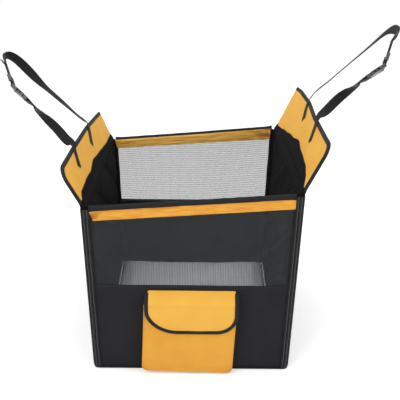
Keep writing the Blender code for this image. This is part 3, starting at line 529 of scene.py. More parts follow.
def bowed(share, power=1.0):
    # An arch from 0 to 0 along a share, fuller as the power gets smaller.
    return sin(pi * share) ** power


def plateau(share, power):
    # Flat along the middle of a share, and falling to 0 at both ends.
    return 1 - abs(2 * share - 1) ** power


def smooth(share):
    return share * share * (3 - 2 * share)


def ripple(point, size, depth):
    # Soft unevenness: depth times smooth noise whose lumps have the given size on each axis.
    return depth * noise.noise(Vector((point[0] / size[0], point[1] / size[1], point[2] / size[2])))


def addPiece(name, points, faces, finish, body, node=None, marks=None, sharp=edgeAngles["cloth"]):
    # Makes a piece that rides on a body, and stands for a node of the frame where one is named.
    mesh = bpy.data.meshes.new(name)
    mesh.from_pydata([tuple(point) for point in points], [], faces)
    mesh.validate()
    for mark, values in (marks or {}).items():
        mesh.attributes.new(mark, "FLOAT", "POINT").data.foreach_set("value", values)
    mesh.materials.append(finishes[finish])
    piece = addToScene(name, mesh)
    smoothed(piece, sharp)
    if node:
        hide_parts(node)
    if body:
        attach(piece, body)
    return piece


def smoothed(piece, sharp):
    piece.data.polygons.foreach_set("use_smooth", [True] * len(piece.data.polygons))
    piece.data.set_sharp_from_angle(angle=radians(sharp))


def settle(piece):
    # Turns the piece's modifiers into plain mesh.
    graph = bpy.context.evaluated_depsgraph_get()
    worked = piece.evaluated_get(graph)
    made = bpy.data.meshes.new_from_object(worked, preserve_all_data_layers=True, depsgraph=graph)
    piece.modifiers.clear()
    piece.data = made


def gridFaces(across, up, ring=False):
    # Faces of a grid of points laid row by row. A ring joins the last column to the first.
    width = across if ring else across + 1
    faces = []
    for row in range(up):
        for column in range(across):
            after = (column + 1) % width
            a, b = row * width + column, row * width + after
            faces.append((a, b, b + width, a + width))
    return faces


def caps(width, count):
    # The two faces that close the ends of a tube.
    return [tuple(range(width - 1, -1, -1)), tuple(range(count - width, count))]


def gridPoints(across, up, place):
    return [place(i / across, j / up) for j in range(up + 1) for i in range(across + 1)]


def clothGrid(name, look, place, finish, node, body="seat_box"):
    # A sheet of cloth through place(u, v), with u and v from 0 to 1.
    across, up = look["grid"]
    piece = addPiece(name, gridPoints(across, up, place), gridFaces(across, up), finish, body, node)
    if look["cloth"]:
        shell = piece.modifiers.new("thickness", "SOLIDIFY")
        shell.thickness = look["cloth"]
        shell.offset = 0.0
        shell.use_even_offset = True
        settle(piece)
        smoothed(piece, edgeAngles["cloth"])
    return piece


def closedGrid(name, look, front, back, finish, node):
    # A closed pad between a front and a back sheet that share their rim.
    across, up = look["grid"]
    frontPoints, backPoints = gridPoints(across, up, front), gridPoints(across, up, back)
    count = len(frontPoints)
    faces = gridFaces(across, up)
    faces += [tuple(index + count for index in reversed(face)) for face in gridFaces(across, up)]
    rim = list(range(across + 1))
    rim += [(across + 1) * j + across for j in range(1, up + 1)]
    rim += [(across + 1) * up + i for i in range(across - 1, -1, -1)]
    rim += [(across + 1) * j for j in range(up - 1, 0, -1)]
    for here, there in zip(rim, rim[1:] + rim[:1]):
        faces.append((here, here + count, there + count, there))
    return addPiece(name, frontPoints + backPoints, faces, finish, "seat_box", node), count


def sweep(name, path, section, finish, body="seat_box", node=None, ring=False, closed=False, capped=False):
    # A strip or tube: path holds (place, side, lift) frames, section holds (across, raised) points
    # or gives them for a share of the path. Marks hold how far along and across each point is.
    points, along, across = [], [], []
    run = 0.0
    for number, (place, side, lift) in enumerate(path):
        run += (place - path[number - 1][0]).length if number else 0.0
        shape = section(number / (len(path) - 1)) if callable(section) else section
        for a, b in shape:
            points.append(place + side * a + lift * b)
            along.append(run)
            across.append(a)
    width = len(shape)
    faces = gridFaces(width if ring else width - 1, len(path) - 1, ring)
    if closed:
        last = len(points) - width
        for column in range(width):
            after = (column + 1) % width
            faces.append((last + column, last + after, after, column))
    if capped:
        faces += caps(width, len(points))
    marks = {"along": along, "across": across}
    return addPiece(name, points, faces, finish, body, node, marks, edgeAngles["strip"])


def circle(radius, count):
    turns = [2 * pi * step / count for step in range(count)]
    return [(radius * cos(turn), radius * sin(turn)) for turn in turns]


def cornerShares(count):
    # How far a round corner still is from its end, from 1 to 0, as the turn goes on.
    return [1 - sin(pi / 2 * step / count) for step in range(count + 1)]


def framed(points, lifts):
    # Gives each point of a line the direction across it, square to the lift there.
    path = []
    for number, point in enumerate(points):
        before, after = points[max(number - 1, 0)], points[min(number + 1, len(points) - 1)]
        along = (after - before).normalized()
        lift = lifts[number] if isinstance(lifts, list) else lifts
        side = along.cross(lift).normalized()
        path.append((point, side, side.cross(along).normalized()))
    return path


def cordAlong(name, line, lift, shape, finish, body="seat_box", closed=False):
    # A round cord that follows a line, or goes round a closed one.
    path = framed(line + line[:1], lift)[:-1] if closed else framed(line, lift)
    section = circle(shape["radius"], shape["sides"])
    return sweep(name, path, section, finish, body, ring=True, closed=closed, capped=not closed)


def evenly(points, count):
    # The same line with the given number of steps of equal length.
    runs = [0.0]
    for here, there in zip(points, points[1:]):
        runs.append(runs[-1] + (there - here).length)
    line, index = [], 0
    for step in range(count + 1):
        goal = runs[-1] * step / count
        while index < len(points) - 2 and runs[index + 1] < goal:
            index += 1
        gap = runs[index + 1] - runs[index]
        share = (goal - runs[index]) / gap if gap else 0.0
        line.append(points[index].lerp(points[index + 1], share))
    return line


stitchLook = {
    "length": 0.003, "gap": 0.0016, "radius": 0.00032, "sunk": 0.00005, "crownShare": 1.3, "dipShare": 0.8,
}


class Sewing:
    # Gathers rows of stitches, and makes them one piece.
    def __init__(self):
        self.points = []
        self.faces = []

    def row(self, line, lifts, shape=stitchLook):
        length, gap, radius = shape["length"], shape["gap"], shape["radius"]
        total = sum((b - a).length for a, b in zip(line, line[1:]))
        count = max(int(total / (length + gap)), 1)
        stops = evenly(line, count)
        raised = lifts if isinstance(lifts, list) else [lifts] * len(line)
        for number, (here, there) in enumerate(zip(stops, stops[1:])):
            lift = raised[min(int(number / count * (len(raised) - 1) + 0.5), len(raised) - 1)]
            along = (there - here).normalized()
            side = along.cross(lift).normalized() * radius
            tip = along * length / 2
            middle = (here + there) / 2
            high = middle + lift * (radius * stitchLook["crownShare"])
            low = middle - lift * (radius + stitchLook["sunk"])
            first = len(self.points)
            dip = lift * (radius * stitchLook["dipShare"])
            self.points += [middle - tip - dip, middle + side, high, middle - side, low, middle + tip - dip]
            for a, b in ((1, 2), (2, 3), (3, 4), (4, 1)):
                self.faces.append((first, first + b, first + a))
                self.faces.append((first + 5, first + a, first + b))

    def made(self, name, finish, body):
        return addPiece(name, self.points, self.faces, finish, body, sharp=edgeAngles["stitches"])


swellLook = {"frames": 20, "quality": 6}


def swell(piece, held, pressure, cap):
    # Cloth under pressure: held points stay, and no other point moves further than the cap.
    start = [vert.co.copy() for vert in piece.data.vertices]
    group = piece.vertex_groups.new(name="held")
    group.add([index for index, stays in enumerate(held) if stays], 1.0, "REPLACE")
    cloth = piece.modifiers.new("swell", "CLOTH")
    cloth.settings.vertex_group_mass = "held"
    cloth.settings.effector_weights.gravity = 0
    cloth.settings.use_pressure = True
    cloth.settings.uniform_pressure_force = pressure
    cloth.settings.quality = swellLook["quality"]
    cloth.collision_settings.use_collision = False
    cloth.point_cache.frame_end = swellLook["frames"]
    for step in range(1, swellLook["frames"] + 1):
        scene.frame_set(step)
    graph = bpy.context.evaluated_depsgraph_get()
    swollen = [vert.co.copy() for vert in piece.evaluated_get(graph).data.vertices]
    piece.modifiers.clear()
    scene.frame_set(1)
    for vert, before, after in zip(piece.data.vertices, start, swollen):
        move = after - before
        vert.co = before + (move if move.length < cap else move.normalized() * cap)
    piece.data.update()


# The box: places that its pieces share
seat = {
    "halfWidth": 0.275,
    "halfDepth": 0.3,
    "baseDraw": 0.013,
    "heights": {"left": 0.47, "right": 0.51},
    "wall": 0.02,
    "floor": 0.0023,
    "panelTop": 0.251,
    "endFace": 0.297,
    "endMiddle": 0.2945,
    "rollRadius": 0.006,
    "railRadius": 0.007,
    "wallEnd": 0.2907,
    "cornerRoll": 0.016,
    "seam": 0.0003,
    "endTuck": -0.0016,
}
hands = {"left": -1, "right": 1}
slope = atan((seat["heights"]["right"] - seat["heights"]["left"]) / (2 * seat["halfWidth"]))
railMiddle = sum(seat["heights"].values()) / 2 - seat["railRadius"]
ends = {"front": -1, "back": 1}


def wallX(name, z, inset=0.0):
    lean = seat["baseDraw"] * (1 - z / seat["heights"][name])
    return hands[name] * (seat["halfWidth"] - lean - inset)


def acrossAt(u, z, tuck=0.0):
    # Across an end of the box, from the left wall to the right one, at height z.
    inset = seat["wall"] + tuck
    return between(wallX("left", z, inset), wallX("right", z, inset), u)


def railZ(x):
    return railMiddle + x * tan(slope)


def rolledUnder(z):
    # How far the outer faces turn in above the piping at the base.
    radius = seat["cornerRoll"]
    if z >= radius:
        return 0.0
    return radius - sqrt(max(radius**2 - (radius - z) ** 2, 0.0))


# Floor: bottom cloth, its piping, and the padded cushion
floorLook = {
    "grid": (56, 60), "cloth": 0.0014, "corner": 0.012, "cornerSteps": 5, "inset": 0.002,
    "lift": 0.0011, "wave": (0.07, 0.07, 1), "waveDepth": 0.0004,
    "piping": {"radius": 0.0023, "sides": 10, "inset": 0.0012, "height": 0.0028},
}


def baseLine(inset, z):
    # A closed rectangle with round corners, followed from the front left corner.
    halfX, halfY = seat["halfWidth"] - seat["baseDraw"] - inset, seat["halfDepth"] - inset
    radius = floorLook["corner"]
    line = []
    for signX, signY, start in ((1, -1, -pi / 2), (1, 1, 0), (-1, 1, pi / 2), (-1, -1, pi)):
        for step in range(floorLook["cornerSteps"] + 1):
            turn = start + pi / 2 * step / floorLook["cornerSteps"]
            x = signX * (halfX - radius) + radius * cos(turn)
            line.append(Vector((x, signY * (halfY - radius) + radius * sin(turn), z)))
    return line


def bottomPlace(u, v):
    corner, inset = floorLook["corner"], floorLook["inset"]
    halfX, halfY = seat["halfWidth"] - seat["baseDraw"] - inset, seat["halfDepth"] - inset
    x, y = halfX * (2 * u - 1), halfY * (2 * v - 1)
    overX, overY = abs(x) - (halfX - corner), abs(y) - (halfY - corner)
    if overX > 0 and overY > 0:
        reach = sqrt(overX**2 + overY**2)
        if reach > corner:
            pull = corner / reach
            x = (abs(x) - overX * (1 - pull)) * (1 if x > 0 else -1)
            y = (abs(y) - overY * (1 - pull)) * (1 if y > 0 else -1)
    return Vector((x, y, floorLook["lift"] + ripple((x, y, 0), floorLook["wave"], floorLook["waveDepth"])))


bottom = clothGrid("bottomCloth", floorLook, bottomPlace, "blackCloth", "bottom_panel")

piping = floorLook["piping"]
pipingLine = baseLine(piping["inset"], piping["height"])
cordAlong("basePiping", pipingLine, zUnit, piping, "bindingTape", closed=True)

cushion = {
    "halfX": 0.2435, "halfY": 0.286, "draw": 0.005, "bottom": 0.0069, "edge": 0.022, "crown": 0.0245,
    "crownPower": 7, "ceiling": 0.0505, "startShare": 0.5, "crownShare": 0.7, "grid": (44, 52),
    "cap": 0.011, "pressure": 4.0,
    "channels": {"across": 0.078, "along": 0.095, "middle": 0.09, "depth": 0.0035, "width": 0.007},
    "cord": {"radius": 0.0022, "sides": 8, "drop": 0.009, "outShare": 1.002, "steps": 120},
}


def cushionPlan(u, v):
    # The cushion's sides pull in between its corners.
    across, up = 2 * u - 1, 2 * v - 1
    drawX = cushion["draw"] * (1 - up**2)
    drawY = cushion["draw"] * (1 - across**2)
    return (cushion["halfX"] - drawX) * across, (cushion["halfY"] - drawY) * up


def cushionTop(u, v):
    # The pressure lifts the rest of the crown, so it starts lower where there is a simulation.
    x, y = cushionPlan(u, v)
    crown = (plateau(u, cushion["crownPower"]) * plateau(v, cushion["crownPower"])) ** 0.5
    grown = cushion["startShare"]
    rise = cushion["crown"] * grown * crown * cushion["crownShare"]
    return Vector((x, y, cushion["bottom"] + cushion["edge"] + rise))


def cushionBottom(u, v):
    x, y = cushionPlan(u, v)
    return Vector((x, y, cushion["bottom"]))


def channelGap(x, y):
    # How far a point on the cushion is from the nearest sewn channel.
    channels = cushion["channels"]
    middle = abs(y) if abs(y) < channels["middle"] else 1
    return min(abs(abs(x) - channels["across"]), abs(abs(y) - channels["along"]), middle)


pad, padFront = closedGrid("floorCushion", cushion, cushionTop, cushionBottom, "padCloth", "floor_pad")
rimHeld = [index >= padFront for index in range(len(pad.data.vertices))]
swell(pad, rimHeld, cushion["pressure"], cushion["cap"])
for vert in pad.data.vertices:
    if vert.index < padFront:
        sewn = nearness(channelGap(vert.co.x, vert.co.y), cushion["channels"]["width"])
        vert.co.z -= cushion["channels"]["depth"] * sewn
        vert.co.z = min(vert.co.z, cushion["ceiling"])
pad.modifiers.new("soft", "SUBSURF").levels = 1
settle(pad)
smoothed(pad, edgeAngles["pad"])

cordLine, cord = [], cushion["cord"]
for turn in range(cord["steps"]):
    side, along = divmod(turn / cord["steps"] * 4, 1)
    u, v = ((along, 0), (1, along), (1 - along, 1), (0, 1 - along))[int(side)]
    x, y = cushionPlan(u, v)
    z = cushion["bottom"] + cushion["edge"] - cord["drop"]
    cordLine.append(Vector((x * cord["outShare"], y * cord["outShare"], z)))
cordAlong("cushionCord", cordLine, zUnit, cord, "padCloth", closed=True)
print("floor pieces made")


# Front and back ends
panelLook = {
    "grid": (72, 36), "cloth": 0.0016, "foot": 0.0005, "recess": 0.0012, "bulge": 0.0016,
    "rounding": 0.5, "fold": (0.075, 1, 0.12), "foldDepth": 0.0012, "foldFade": 0.4, "seed": 3.1,
}
windowLook = {"grid": (64, 30), "cloth": 0.0, "half": 0.2547, "over": 0.003, "under": 0.004, "bulge": 0.0012}
sewing = {"black": Sewing(), "yellow": Sewing()}


def endY(name, depth):
    return ends[name] * depth


def panelPlace(name):
    look = panelLook

    def place(u, v):
        z = between(seat["floor"] - look["foot"], seat["panelTop"], v)
        x = acrossAt(u, z, seat["endTuck"])
        swollen = look["bulge"] * bowed(u, look["rounding"]) * bowed(v, look["rounding"])
        folds = ripple((x, look["seed"] * ends[name], z), look["fold"], look["foldDepth"])
        out = seat["endFace"] - look["recess"] + swollen + folds * bowed(v, look["foldFade"])
        return Vector((x, endY(name, out), z))
    return place


def windowPlace(name):
    look = windowLook

    def place(u, v):
        flatX = between(-look["half"], look["half"], u)
        high = railZ(flatX) - bandLook[name]["foot"] / cos(slope) + look["over"]
        z = between(seat["panelTop"] - look["under"], high, v)
        slack = look["bulge"] * bowed(u) * bowed(v)
        return Vector((acrossAt(u, z, seat["endTuck"]), endY(name, seat["endMiddle"] - slack), z))
    return place


def bandHalf(low):
    height = seat["heights"]["left"]
    lean = seat["baseDraw"] * (1 - (height - seat["railRadius"] - low) / height)
    return (seat["halfWidth"] - seat["wall"] - seat["seam"] - lean - low * sin(slope)) / cos(slope)


windowTape = {
    "inset": 0.0026,
    "recess": 0.0004,
    "steps": 30,
    "section": [(-0.004, -0.0018), (-0.0038, 0.0014), (0.0, 0.0019), (0.0038, 0.0014), (0.004, -0.0018)],
}


def tapeUp(name, side):
    # The tape sewn down a side of the mesh window.
    line = []
    high = railZ(side * windowLook["half"]) - bandLook[name]["tapeTop"] / cos(slope)
    for z in evenSteps(seat["panelTop"], high, windowTape["steps"]):
        x = acrossAt((1 + side) / 2, z, windowTape["inset"])
        line.append(Vector((x, endY(name, seat["endMiddle"] - windowTape["recess"]), z)))
    label = f"{name}Window{'Right' if side > 0 else 'Left'}Tape"
    path = framed(line, Vector((0, ends[name], 0)))
    sweep(label, path, windowTape["section"], "bindingTape", ring=True, capped=True)


# A band's top and foot hang from the rail's line. Its wrinkles are drawn along it, with a tuck
# where it is gathered, and the back rail's cloth stands higher toward the right wall.
bandLook = {
    "grid": (130, 16),
    "cloth": 0.0016,
    "front": {
        "finish": "bandYellow", "top": 0.0043, "foot": 0.0323, "tapeTop": 0.0323,
        "tuckHand": -1, "tuckSlant": 0.3, "tuckWidth": 0.0028, "footCut": 0.0045, "rightCut": 0.0,
        "seed": 2.0,
    },
    "back": {
        "finish": "backBandYellow", "top": -0.0015, "foot": 0.0285, "tapeTop": 0.005,
        "tuckHand": 1, "tuckSlant": 0.25, "tuckWidth": 0.003, "footCut": 0.0, "rightCut": 0.007,
        "seed": 7.0,
    },
    "wrinkle": {"slant": 0.03, "size": (0.06, 1, 0.006), "depth": 0.003, "fade": 0.5},
    "crease": {"seedStep": 4, "size": (0.016, 1, 0.011), "depth": 0.0005},
    "tuck": {"start": 0.012, "depth": 0.003, "early": 0.15},
    "bulge": 0.0012,
    "bulgePower": 0.7,
    "over": 0.0012,
    "crown": {"rise": 0.007, "half": 0.25, "power": 1.5},
    "lap": {"out": 0.0094, "start": 0.003, "reach": 0.03, "power": 0.8},
    "seams": {"top": 0.0088, "foot": 0.0022, "short": 0.008, "steps": 60, "out": 0.0009},
}


def crownLift(name, s):
    if name == "front":
        return 0.0
    crown = bandLook["crown"]
    return crown["rise"] * max((s + crown["half"]) / (2 * crown["half"]), 0) ** crown["power"]


def bandPlace(name):
    shape = bandLook[name]
    wrinkle, crease, tuck, lap = (bandLook[part] for part in ("wrinkle", "crease", "tuck", "lap"))

    def place(u, v):
        low = between(shape["top"], shape["foot"], v)
        half = bandHalf(max(low, 0)) + bandLook["over"]
        s = between(-half + shape["footCut"] * v, half - shape["rightCut"], u)
        depth = wrinkle["depth"] * bowed(v, wrinkle["fade"])
        dent = ripple((s, shape["seed"], low + wrinkle["slant"] * s), wrinkle["size"], depth)
        dent += ripple((s + low, shape["seed"] + crease["seedStep"], low), crease["size"], crease["depth"])
        fold = (half - s * shape["tuckHand"]) - tuck["start"] - shape["tuckSlant"] * low
        dent -= tuck["depth"] * nearness(fold, shape["tuckWidth"]) * bowed(min(v + tuck["early"], 1))
        dent += bandLook["bulge"] * bowed(v, bandLook["bulgePower"])
        x = s * cos(slope) + low * sin(slope)
        z = railMiddle + s * sin(slope) - low * cos(slope) + crownLift(name, s) * (1 - v) ** 2
        if name == "back":
            over = between(lap["out"], 0.0, clamped((low - lap["start"]) / lap["reach"]) ** lap["power"])
            return Vector((x, seat["endMiddle"] - bandLook["over"] - dent - over, z))
        return Vector((x, endY(name, seat["endMiddle"] + bandLook["over"] + dent), z))
    return place


acrossTape = {
    "height": 0.0075,
    "steps": 40,
    "tuck": -0.001,
    "section": [(-1, -0.0008), (-1, 0.0003), (-0.6, 0.0007), (0.6, 0.0007), (1, 0.0003), (1, -0.0008)],
    "stitchShare": 0.3,
    "stitchOut": 0.0008,
    "drop": 0.0005,
    "recess": 0.0006,
}


def tapeAcross(name):
    # The flat tape sewn across an end between its panel and its window, level with the floor.
    look = acrossTape
    y, z = endY(name, seat["endFace"] - look["recess"]), seat["panelTop"] - look["drop"]
    line = [Vector((acrossAt(share, z, look["tuck"]), y, z)) for share in evenSteps(0, 1, look["steps"])]
    lift = Vector((0, ends[name], 0))
    half = look["height"] / 2
    section = [(half * share, raised) for share, raised in look["section"]]
    sweep(f"{name}WindowTape", framed(line, lift), section, "bindingTape")
    for edge in (-look["stitchShare"], look["stitchShare"]):
        row = [point + Vector((0, ends[name] * look["stitchOut"], edge * look["height"])) for point in line]
        sewing["black"].row(row, lift)


sleeveLook = {
    "over": 0.0005, "steps": 120, "sides": 18, "pinch": 0.28, "pinchWidth": 0.009,
    "lump": 0.09, "lumpsAlong": 16, "lumpsAround": 260, "seed": 3.0,
}


def makeSleeve(name):
    # The cloth round an end's rail. It narrows and flattens where it is sewn into the walls.
    look = sleeveLook
    reach, radius = bandHalf(seat["railRadius"]), seat["railRadius"]
    path = []
    for s in evenSteps(-reach - look["over"], reach + look["over"], look["steps"]):
        place = Vector((s * cos(slope), ends[name] * seat["endMiddle"], railMiddle + s * sin(slope)))
        path.append((place, yUnit, Vector((-sin(slope), 0, cos(slope)))))

    def section(share):
        gap = min(share, 1 - share) * 2 * reach
        pinch = 1 - look["pinch"] * nearness(gap, look["pinchWidth"])
        seed = look["seed"] * ends[name]
        half = bandLook["crown"]["half"]
        shape = []
        for a, b in circle(radius, look["sides"]):
            spot = (share * look["lumpsAlong"], a * look["lumpsAround"], b * look["lumpsAround"] + seed)
            lump = 1 + ripple(spot, (1, 1, 1), look["lump"])
            raised = crownLift(name, between(-half, half, share)) * max(b, 0) / radius
            shape.append((a * lump * pinch, b * lump * (2 - pinch) + raised))
        return shape

    label, node = f"{name}TopSleeve", f"{name}_top_sleeve"
    sweep(label, path, section, "blackCloth", node=node, ring=True, capped=True)


def sewBand(name):
    # The two rows of stitches along a band.
    look, shape, place = bandLook["seams"], bandLook[name], bandPlace(name)
    for low in (look["top"], shape["foot"] - look["foot"]):
        reach = bandHalf(low)
        half = reach - look["short"]
        v = (low - shape["top"]) / (shape["foot"] - shape["top"])
        shares = [(s + reach) / (2 * reach) for s in evenSteps(-half, half, look["steps"])]
        sewing["yellow"].row([place(u, v) - yUnit * look["out"] for u in shares], -yUnit)


for name in ends:
    node = f"{name}_lower_panel"
    panel = clothGrid(f"{name}LowerPanel", panelLook, panelPlace(name), "blackCloth", node)
    node = f"{name}_mesh_window"
    window = clothGrid(f"{name}MeshWindow", windowLook, windowPlace(name), f"{name}Mesh", node)
    finish, node = bandLook[name]["finish"], f"{name}_top_band"
    band = clothGrid(f"{name}TopBand", bandLook, bandPlace(name), finish, node)
    tapeAcross(name)
    for side in (-1, 1):
        tapeUp(name, side)
    makeSleeve(name)
    sewBand(name)
print("front and back ends made")


# Side walls
wallLook = {
    "quiltSpacing": 0.105, "quiltSlope": radians(32), "quiltMiddle": 0.236, "face": 0.0256,
    "back": 0.0057, "rim": 0.0142, "crownPower": 9, "startShare": 0.55, "channelPower": 0.6,
    "grid": (66, 54), "cap": 0.0085, "pressure": 5.0, "sewnWidth": 0.005, "channel": 0.0034,
    "channelWidth": 0.0055, "edgeWidth": 0.02, "lump": (1, 0.035, 0.05), "lumpDepth": 0.0016,
    "limit": 0.0262, "footLimit": 0.0165, "footHeight": 0.12,
}


def wallTop(name, gap=seat["seam"]):
    return seat["heights"][name] - seat["rollRadius"] - gap


def quiltDistance(y, z):
    # How far a point on a wall is from the nearest quilting line.
    step, turn = wallLook["quiltSpacing"], wallLook["quiltSlope"]
    share = (y * sin(turn) + (z - wallLook["quiltMiddle"]) * cos(turn)) / step
    return abs(share - round(share)) * step


def liningFront(name):
    # The pressure lifts the quilting too, so it starts flatter where there is a simulation.
    look = wallLook
    grown = look["startShare"]

    def place(u, v):
        y = between(-seat["wallEnd"], seat["wallEnd"], u)
        z = between(seat["floor"], wallTop(name), v)
        crown = (plateau(u, look["crownPower"]) * plateau(v, look["crownPower"])) ** 0.5
        quilt = abs(sin(pi * quiltDistance(y, z) / look["quiltSpacing"]))
        channel = 0.5 + 0.5 * quilt ** look["channelPower"]
        inset = look["rim"] + (look["face"] - look["rim"]) * crown * channel * grown
        return Vector((wallX(name, z, inset), y, z))
    return place


def liningBack(name):
    front = liningFront(name)

    def place(u, v):
        point = front(u, v)
        return Vector((wallX(name, point.z, wallLook["back"]), point.y, point.z))
    return place


def makeLining(name):
    look = wallLook
    label, node = f"{name}WallLining", f"{name}_wall_lining"
    lining, frontCount = closedGrid(label, look, liningFront(name), liningBack(name), "liningCloth", node)
    held = []
    for vert in lining.data.vertices:
        sewn = quiltDistance(vert.co.y, vert.co.z) < look["sewnWidth"]
        held.append(vert.index >= frontCount or sewn)
    swell(lining, held, look["pressure"], look["cap"])
    inward = -hands[name]
    for vert in lining.data.vertices:
        if vert.index >= frontCount:
            continue
        y, z = vert.co.y, vert.co.z
        deep = look["channel"] * nearness(quiltDistance(y, z), look["channelWidth"])
        edge = min(abs(abs(y) - seat["wallEnd"]), look["edgeWidth"]) / look["edgeWidth"]
        vert.co.x -= inward * deep * edge
        vert.co.x += inward * ripple((3 * inward, y, z), look["lump"], look["lumpDepth"]) * edge
        limit = between(look["footLimit"], look["limit"], min(z / look["footHeight"], 1))
        if abs(vert.co.x - wallX(name, z)) > limit:
            vert.co.x = wallX(name, z, limit)
    quilted(name, lining)
    lining.modifiers.new("soft", "SUBSURF").levels = 1
    settle(lining)
    smoothed(lining, edgeAngles["pad"])


quiltLook = {
    "rows": range(-5, 6), "steps": 120, "short": 0.006, "foot": 0.045, "top": 0.004, "fewest": 4,
    "out": 0.0003,
    "stitch": {"length": 0.0048, "gap": 0.0012, "radius": 0.00045},
}


def quiltLines(low, high):
    # The quilting lines between two heights, as lists of (y, z).
    turn, end = wallLook["quiltSlope"], seat["wallEnd"] - quiltLook["short"]
    lines = []
    for number in quiltLook["rows"]:
        line = []
        for y in evenSteps(-end, end, quiltLook["steps"]):
            z = wallLook["quiltMiddle"] + (number * wallLook["quiltSpacing"] - y * sin(turn)) / cos(turn)
            if low < z < high:
                line.append((y, z))
        if len(line) > quiltLook["fewest"]:
            lines.append(line)
    return lines


def quilted(name, lining):
    # Rows of stitches that follow the lining's own surface along the quilting lines.
    across, up = wallLook["grid"]
    end, low, top = seat["wallEnd"], seat["floor"], wallTop(name)
    faceX = [vert.co.x for vert in lining.data.vertices]

    def at(y, z):
        i, j = (y + end) / (2 * end) * across, (z - low) / (top - low) * up
        column, row = clamped(int(i), 0, across - 1), clamped(int(j), 0, up - 1)
        corner = row * (across + 1) + column
        lower = between(faceX[corner], faceX[corner + 1], i - column)
        upper = between(faceX[corner + across + 1], faceX[corner + across + 2], i - column)
        return Vector((between(lower, upper, j - row) - hands[name] * quiltLook["out"], y, z))

    rows = Sewing()
    for line in quiltLines(low + quiltLook["foot"], top - quiltLook["top"]):
        rows.row([at(y, z) for y, z in line], Vector((-hands[name], 0, 0)), quiltLook["stitch"])
    rows.made(f"{name}QuiltStitches", "greyThread", "seat_box")


coverLook = {
    "grid": (84, 68), "cloth": 0.0014, "over": 0.004, "foot": 0.001, "recess": 0.0008, "fill": 0.0016,
    "rounding": 0.5, "fold": (1, 0.09, 0.11), "foldDepth": 0.0016, "foldFade": 0.4, "seed": 5,
    "quilt": 0.0012, "quiltWidth": 0.004, "quiltFade": 0.3,
}


def coverPlace(name):
    # Outer cloth of a wall: it turns under at the base, and fills out a little between its edges.
    look = coverLook

    def place(u, v):
        y = between(-seat["wallEnd"] - look["over"], seat["wallEnd"] + look["over"], u)
        z = between(seat["floor"] - look["foot"], wallTop(name), v)
        fill = look["fill"] * (bowed(u) * bowed(v)) ** look["rounding"]
        folds = ripple((hands[name] * look["seed"], y, z), look["fold"], look["foldDepth"])
        fill += folds * bowed(v, look["foldFade"]) * bowed(u, look["foldFade"])
        quilt = nearness(quiltDistance(-y, z), look["quiltWidth"])
        fill -= look["quilt"] * quilt * bowed(v, look["quiltFade"])
        return Vector((wallX(name, z, look["recess"] + rolledUnder(z) - fill), y, z))
    return place


# The tape round a wall's edge, as (inset, depth) points: two padded folds with a sunk seam in each.
edgeLook = {
    "section": [
        (-0.0006, 0.015), (-0.001, 0.01), (-0.001, 0.005), (-0.0002, 0.0022), (0.0014, 0.0006),
        (0.003, 0.0), (0.004, 0.0004), (0.0046, 0.0028), (0.0062, 0.0031), (0.007, 0.0006),
        (0.0084, -0.0008), (0.0108, -0.0009), (0.012, 0.0), (0.0126, 0.0027), (0.0143, 0.0029),
        (0.015, 0.0), (0.0164, -0.001), (0.0184, -0.001), (0.0196, 0.0002), (0.0203, 0.002),
        (0.0207, 0.005), (0.0207, 0.01),
    ],
    "width": 0.0207, "turn": 0.024, "turnDepth": 0.1,
    "wave": {"size": (1, 1, 0.06), "depth": 0.0022},
    "puff": {"size": (1, 1, 0.035), "depth": 0.0008, "spread": 90},
    "foot": 0.0012, "topGap": 0.0004, "rows": 90,
    "seams": [{"inset": 0.0066, "depth": 0.0007}, {"inset": 0.0146, "depth": 0.0004}],
    "cord": {"radius": 0.001, "sides": 8, "foot": 0.004, "top": 0.001, "steps": 80},
}


def makeEdge(name, end):
    # A bound corner: tape turned round the wall's edge, with two sunk seams down its face.
    look, wave, puff = edgeLook, edgeLook["wave"], edgeLook["puff"]
    hand, turned, top = hands[name], ends[end], wallTop(name, edgeLook["topGap"])
    points, along, across = [], [], []

    def placed(z, a, b):
        curl = rolledUnder(z)
        middle = bowed(clamped(a / look["width"]))
        sway = ripple((hand * 2, turned * 3, z), wave["size"], wave["depth"])
        inset = a + curl * (1 - max(a, 0) / look["turn"]) + sway * middle
        swollen = ripple((hand, turned * 2 + a * puff["spread"], z), puff["size"], puff["depth"]) * middle
        out = seat["halfDepth"] - b + swollen - curl * look["turnDepth"]
        return Vector((wallX(name, z, inset), turned * out, z))

    for z in evenSteps(look["foot"], top, look["rows"]):
        for a, b in look["section"]:
            points.append(placed(z, a, b))
            along.append(z)
            across.append(a)
    label, cord = f"{name}{end.capitalize()}Edge", look["cord"]
    heights = evenSteps(cord["foot"], top - cord["top"], cord["steps"])
    # The cords are light grey: a painted highlight along each sunk seam.
    for number, seam in enumerate(look["seams"]):
        line = [placed(z, seam["inset"], seam["depth"]) for z in heights]
        cordAlong(f"{label}Cord{number + 1}", line, yUnit * turned, cord, "greyThread")
    faces = gridFaces(len(look["section"]) - 1, look["rows"])
    marks, node = {"along": along, "across": across}, f"{name}_{end}_edge"
    addPiece(label, points, faces, "bindingTape", "seat_box", node, marks, edgeAngles["edge"])


for name in hands:
    makeLining(name)
    cover = clothGrid(f"{name}WallCover", coverLook, coverPlace(name), "blackCloth", f"{name}_wall_cover")
    for end in ends:
        makeEdge(name, end)
print("side walls made")


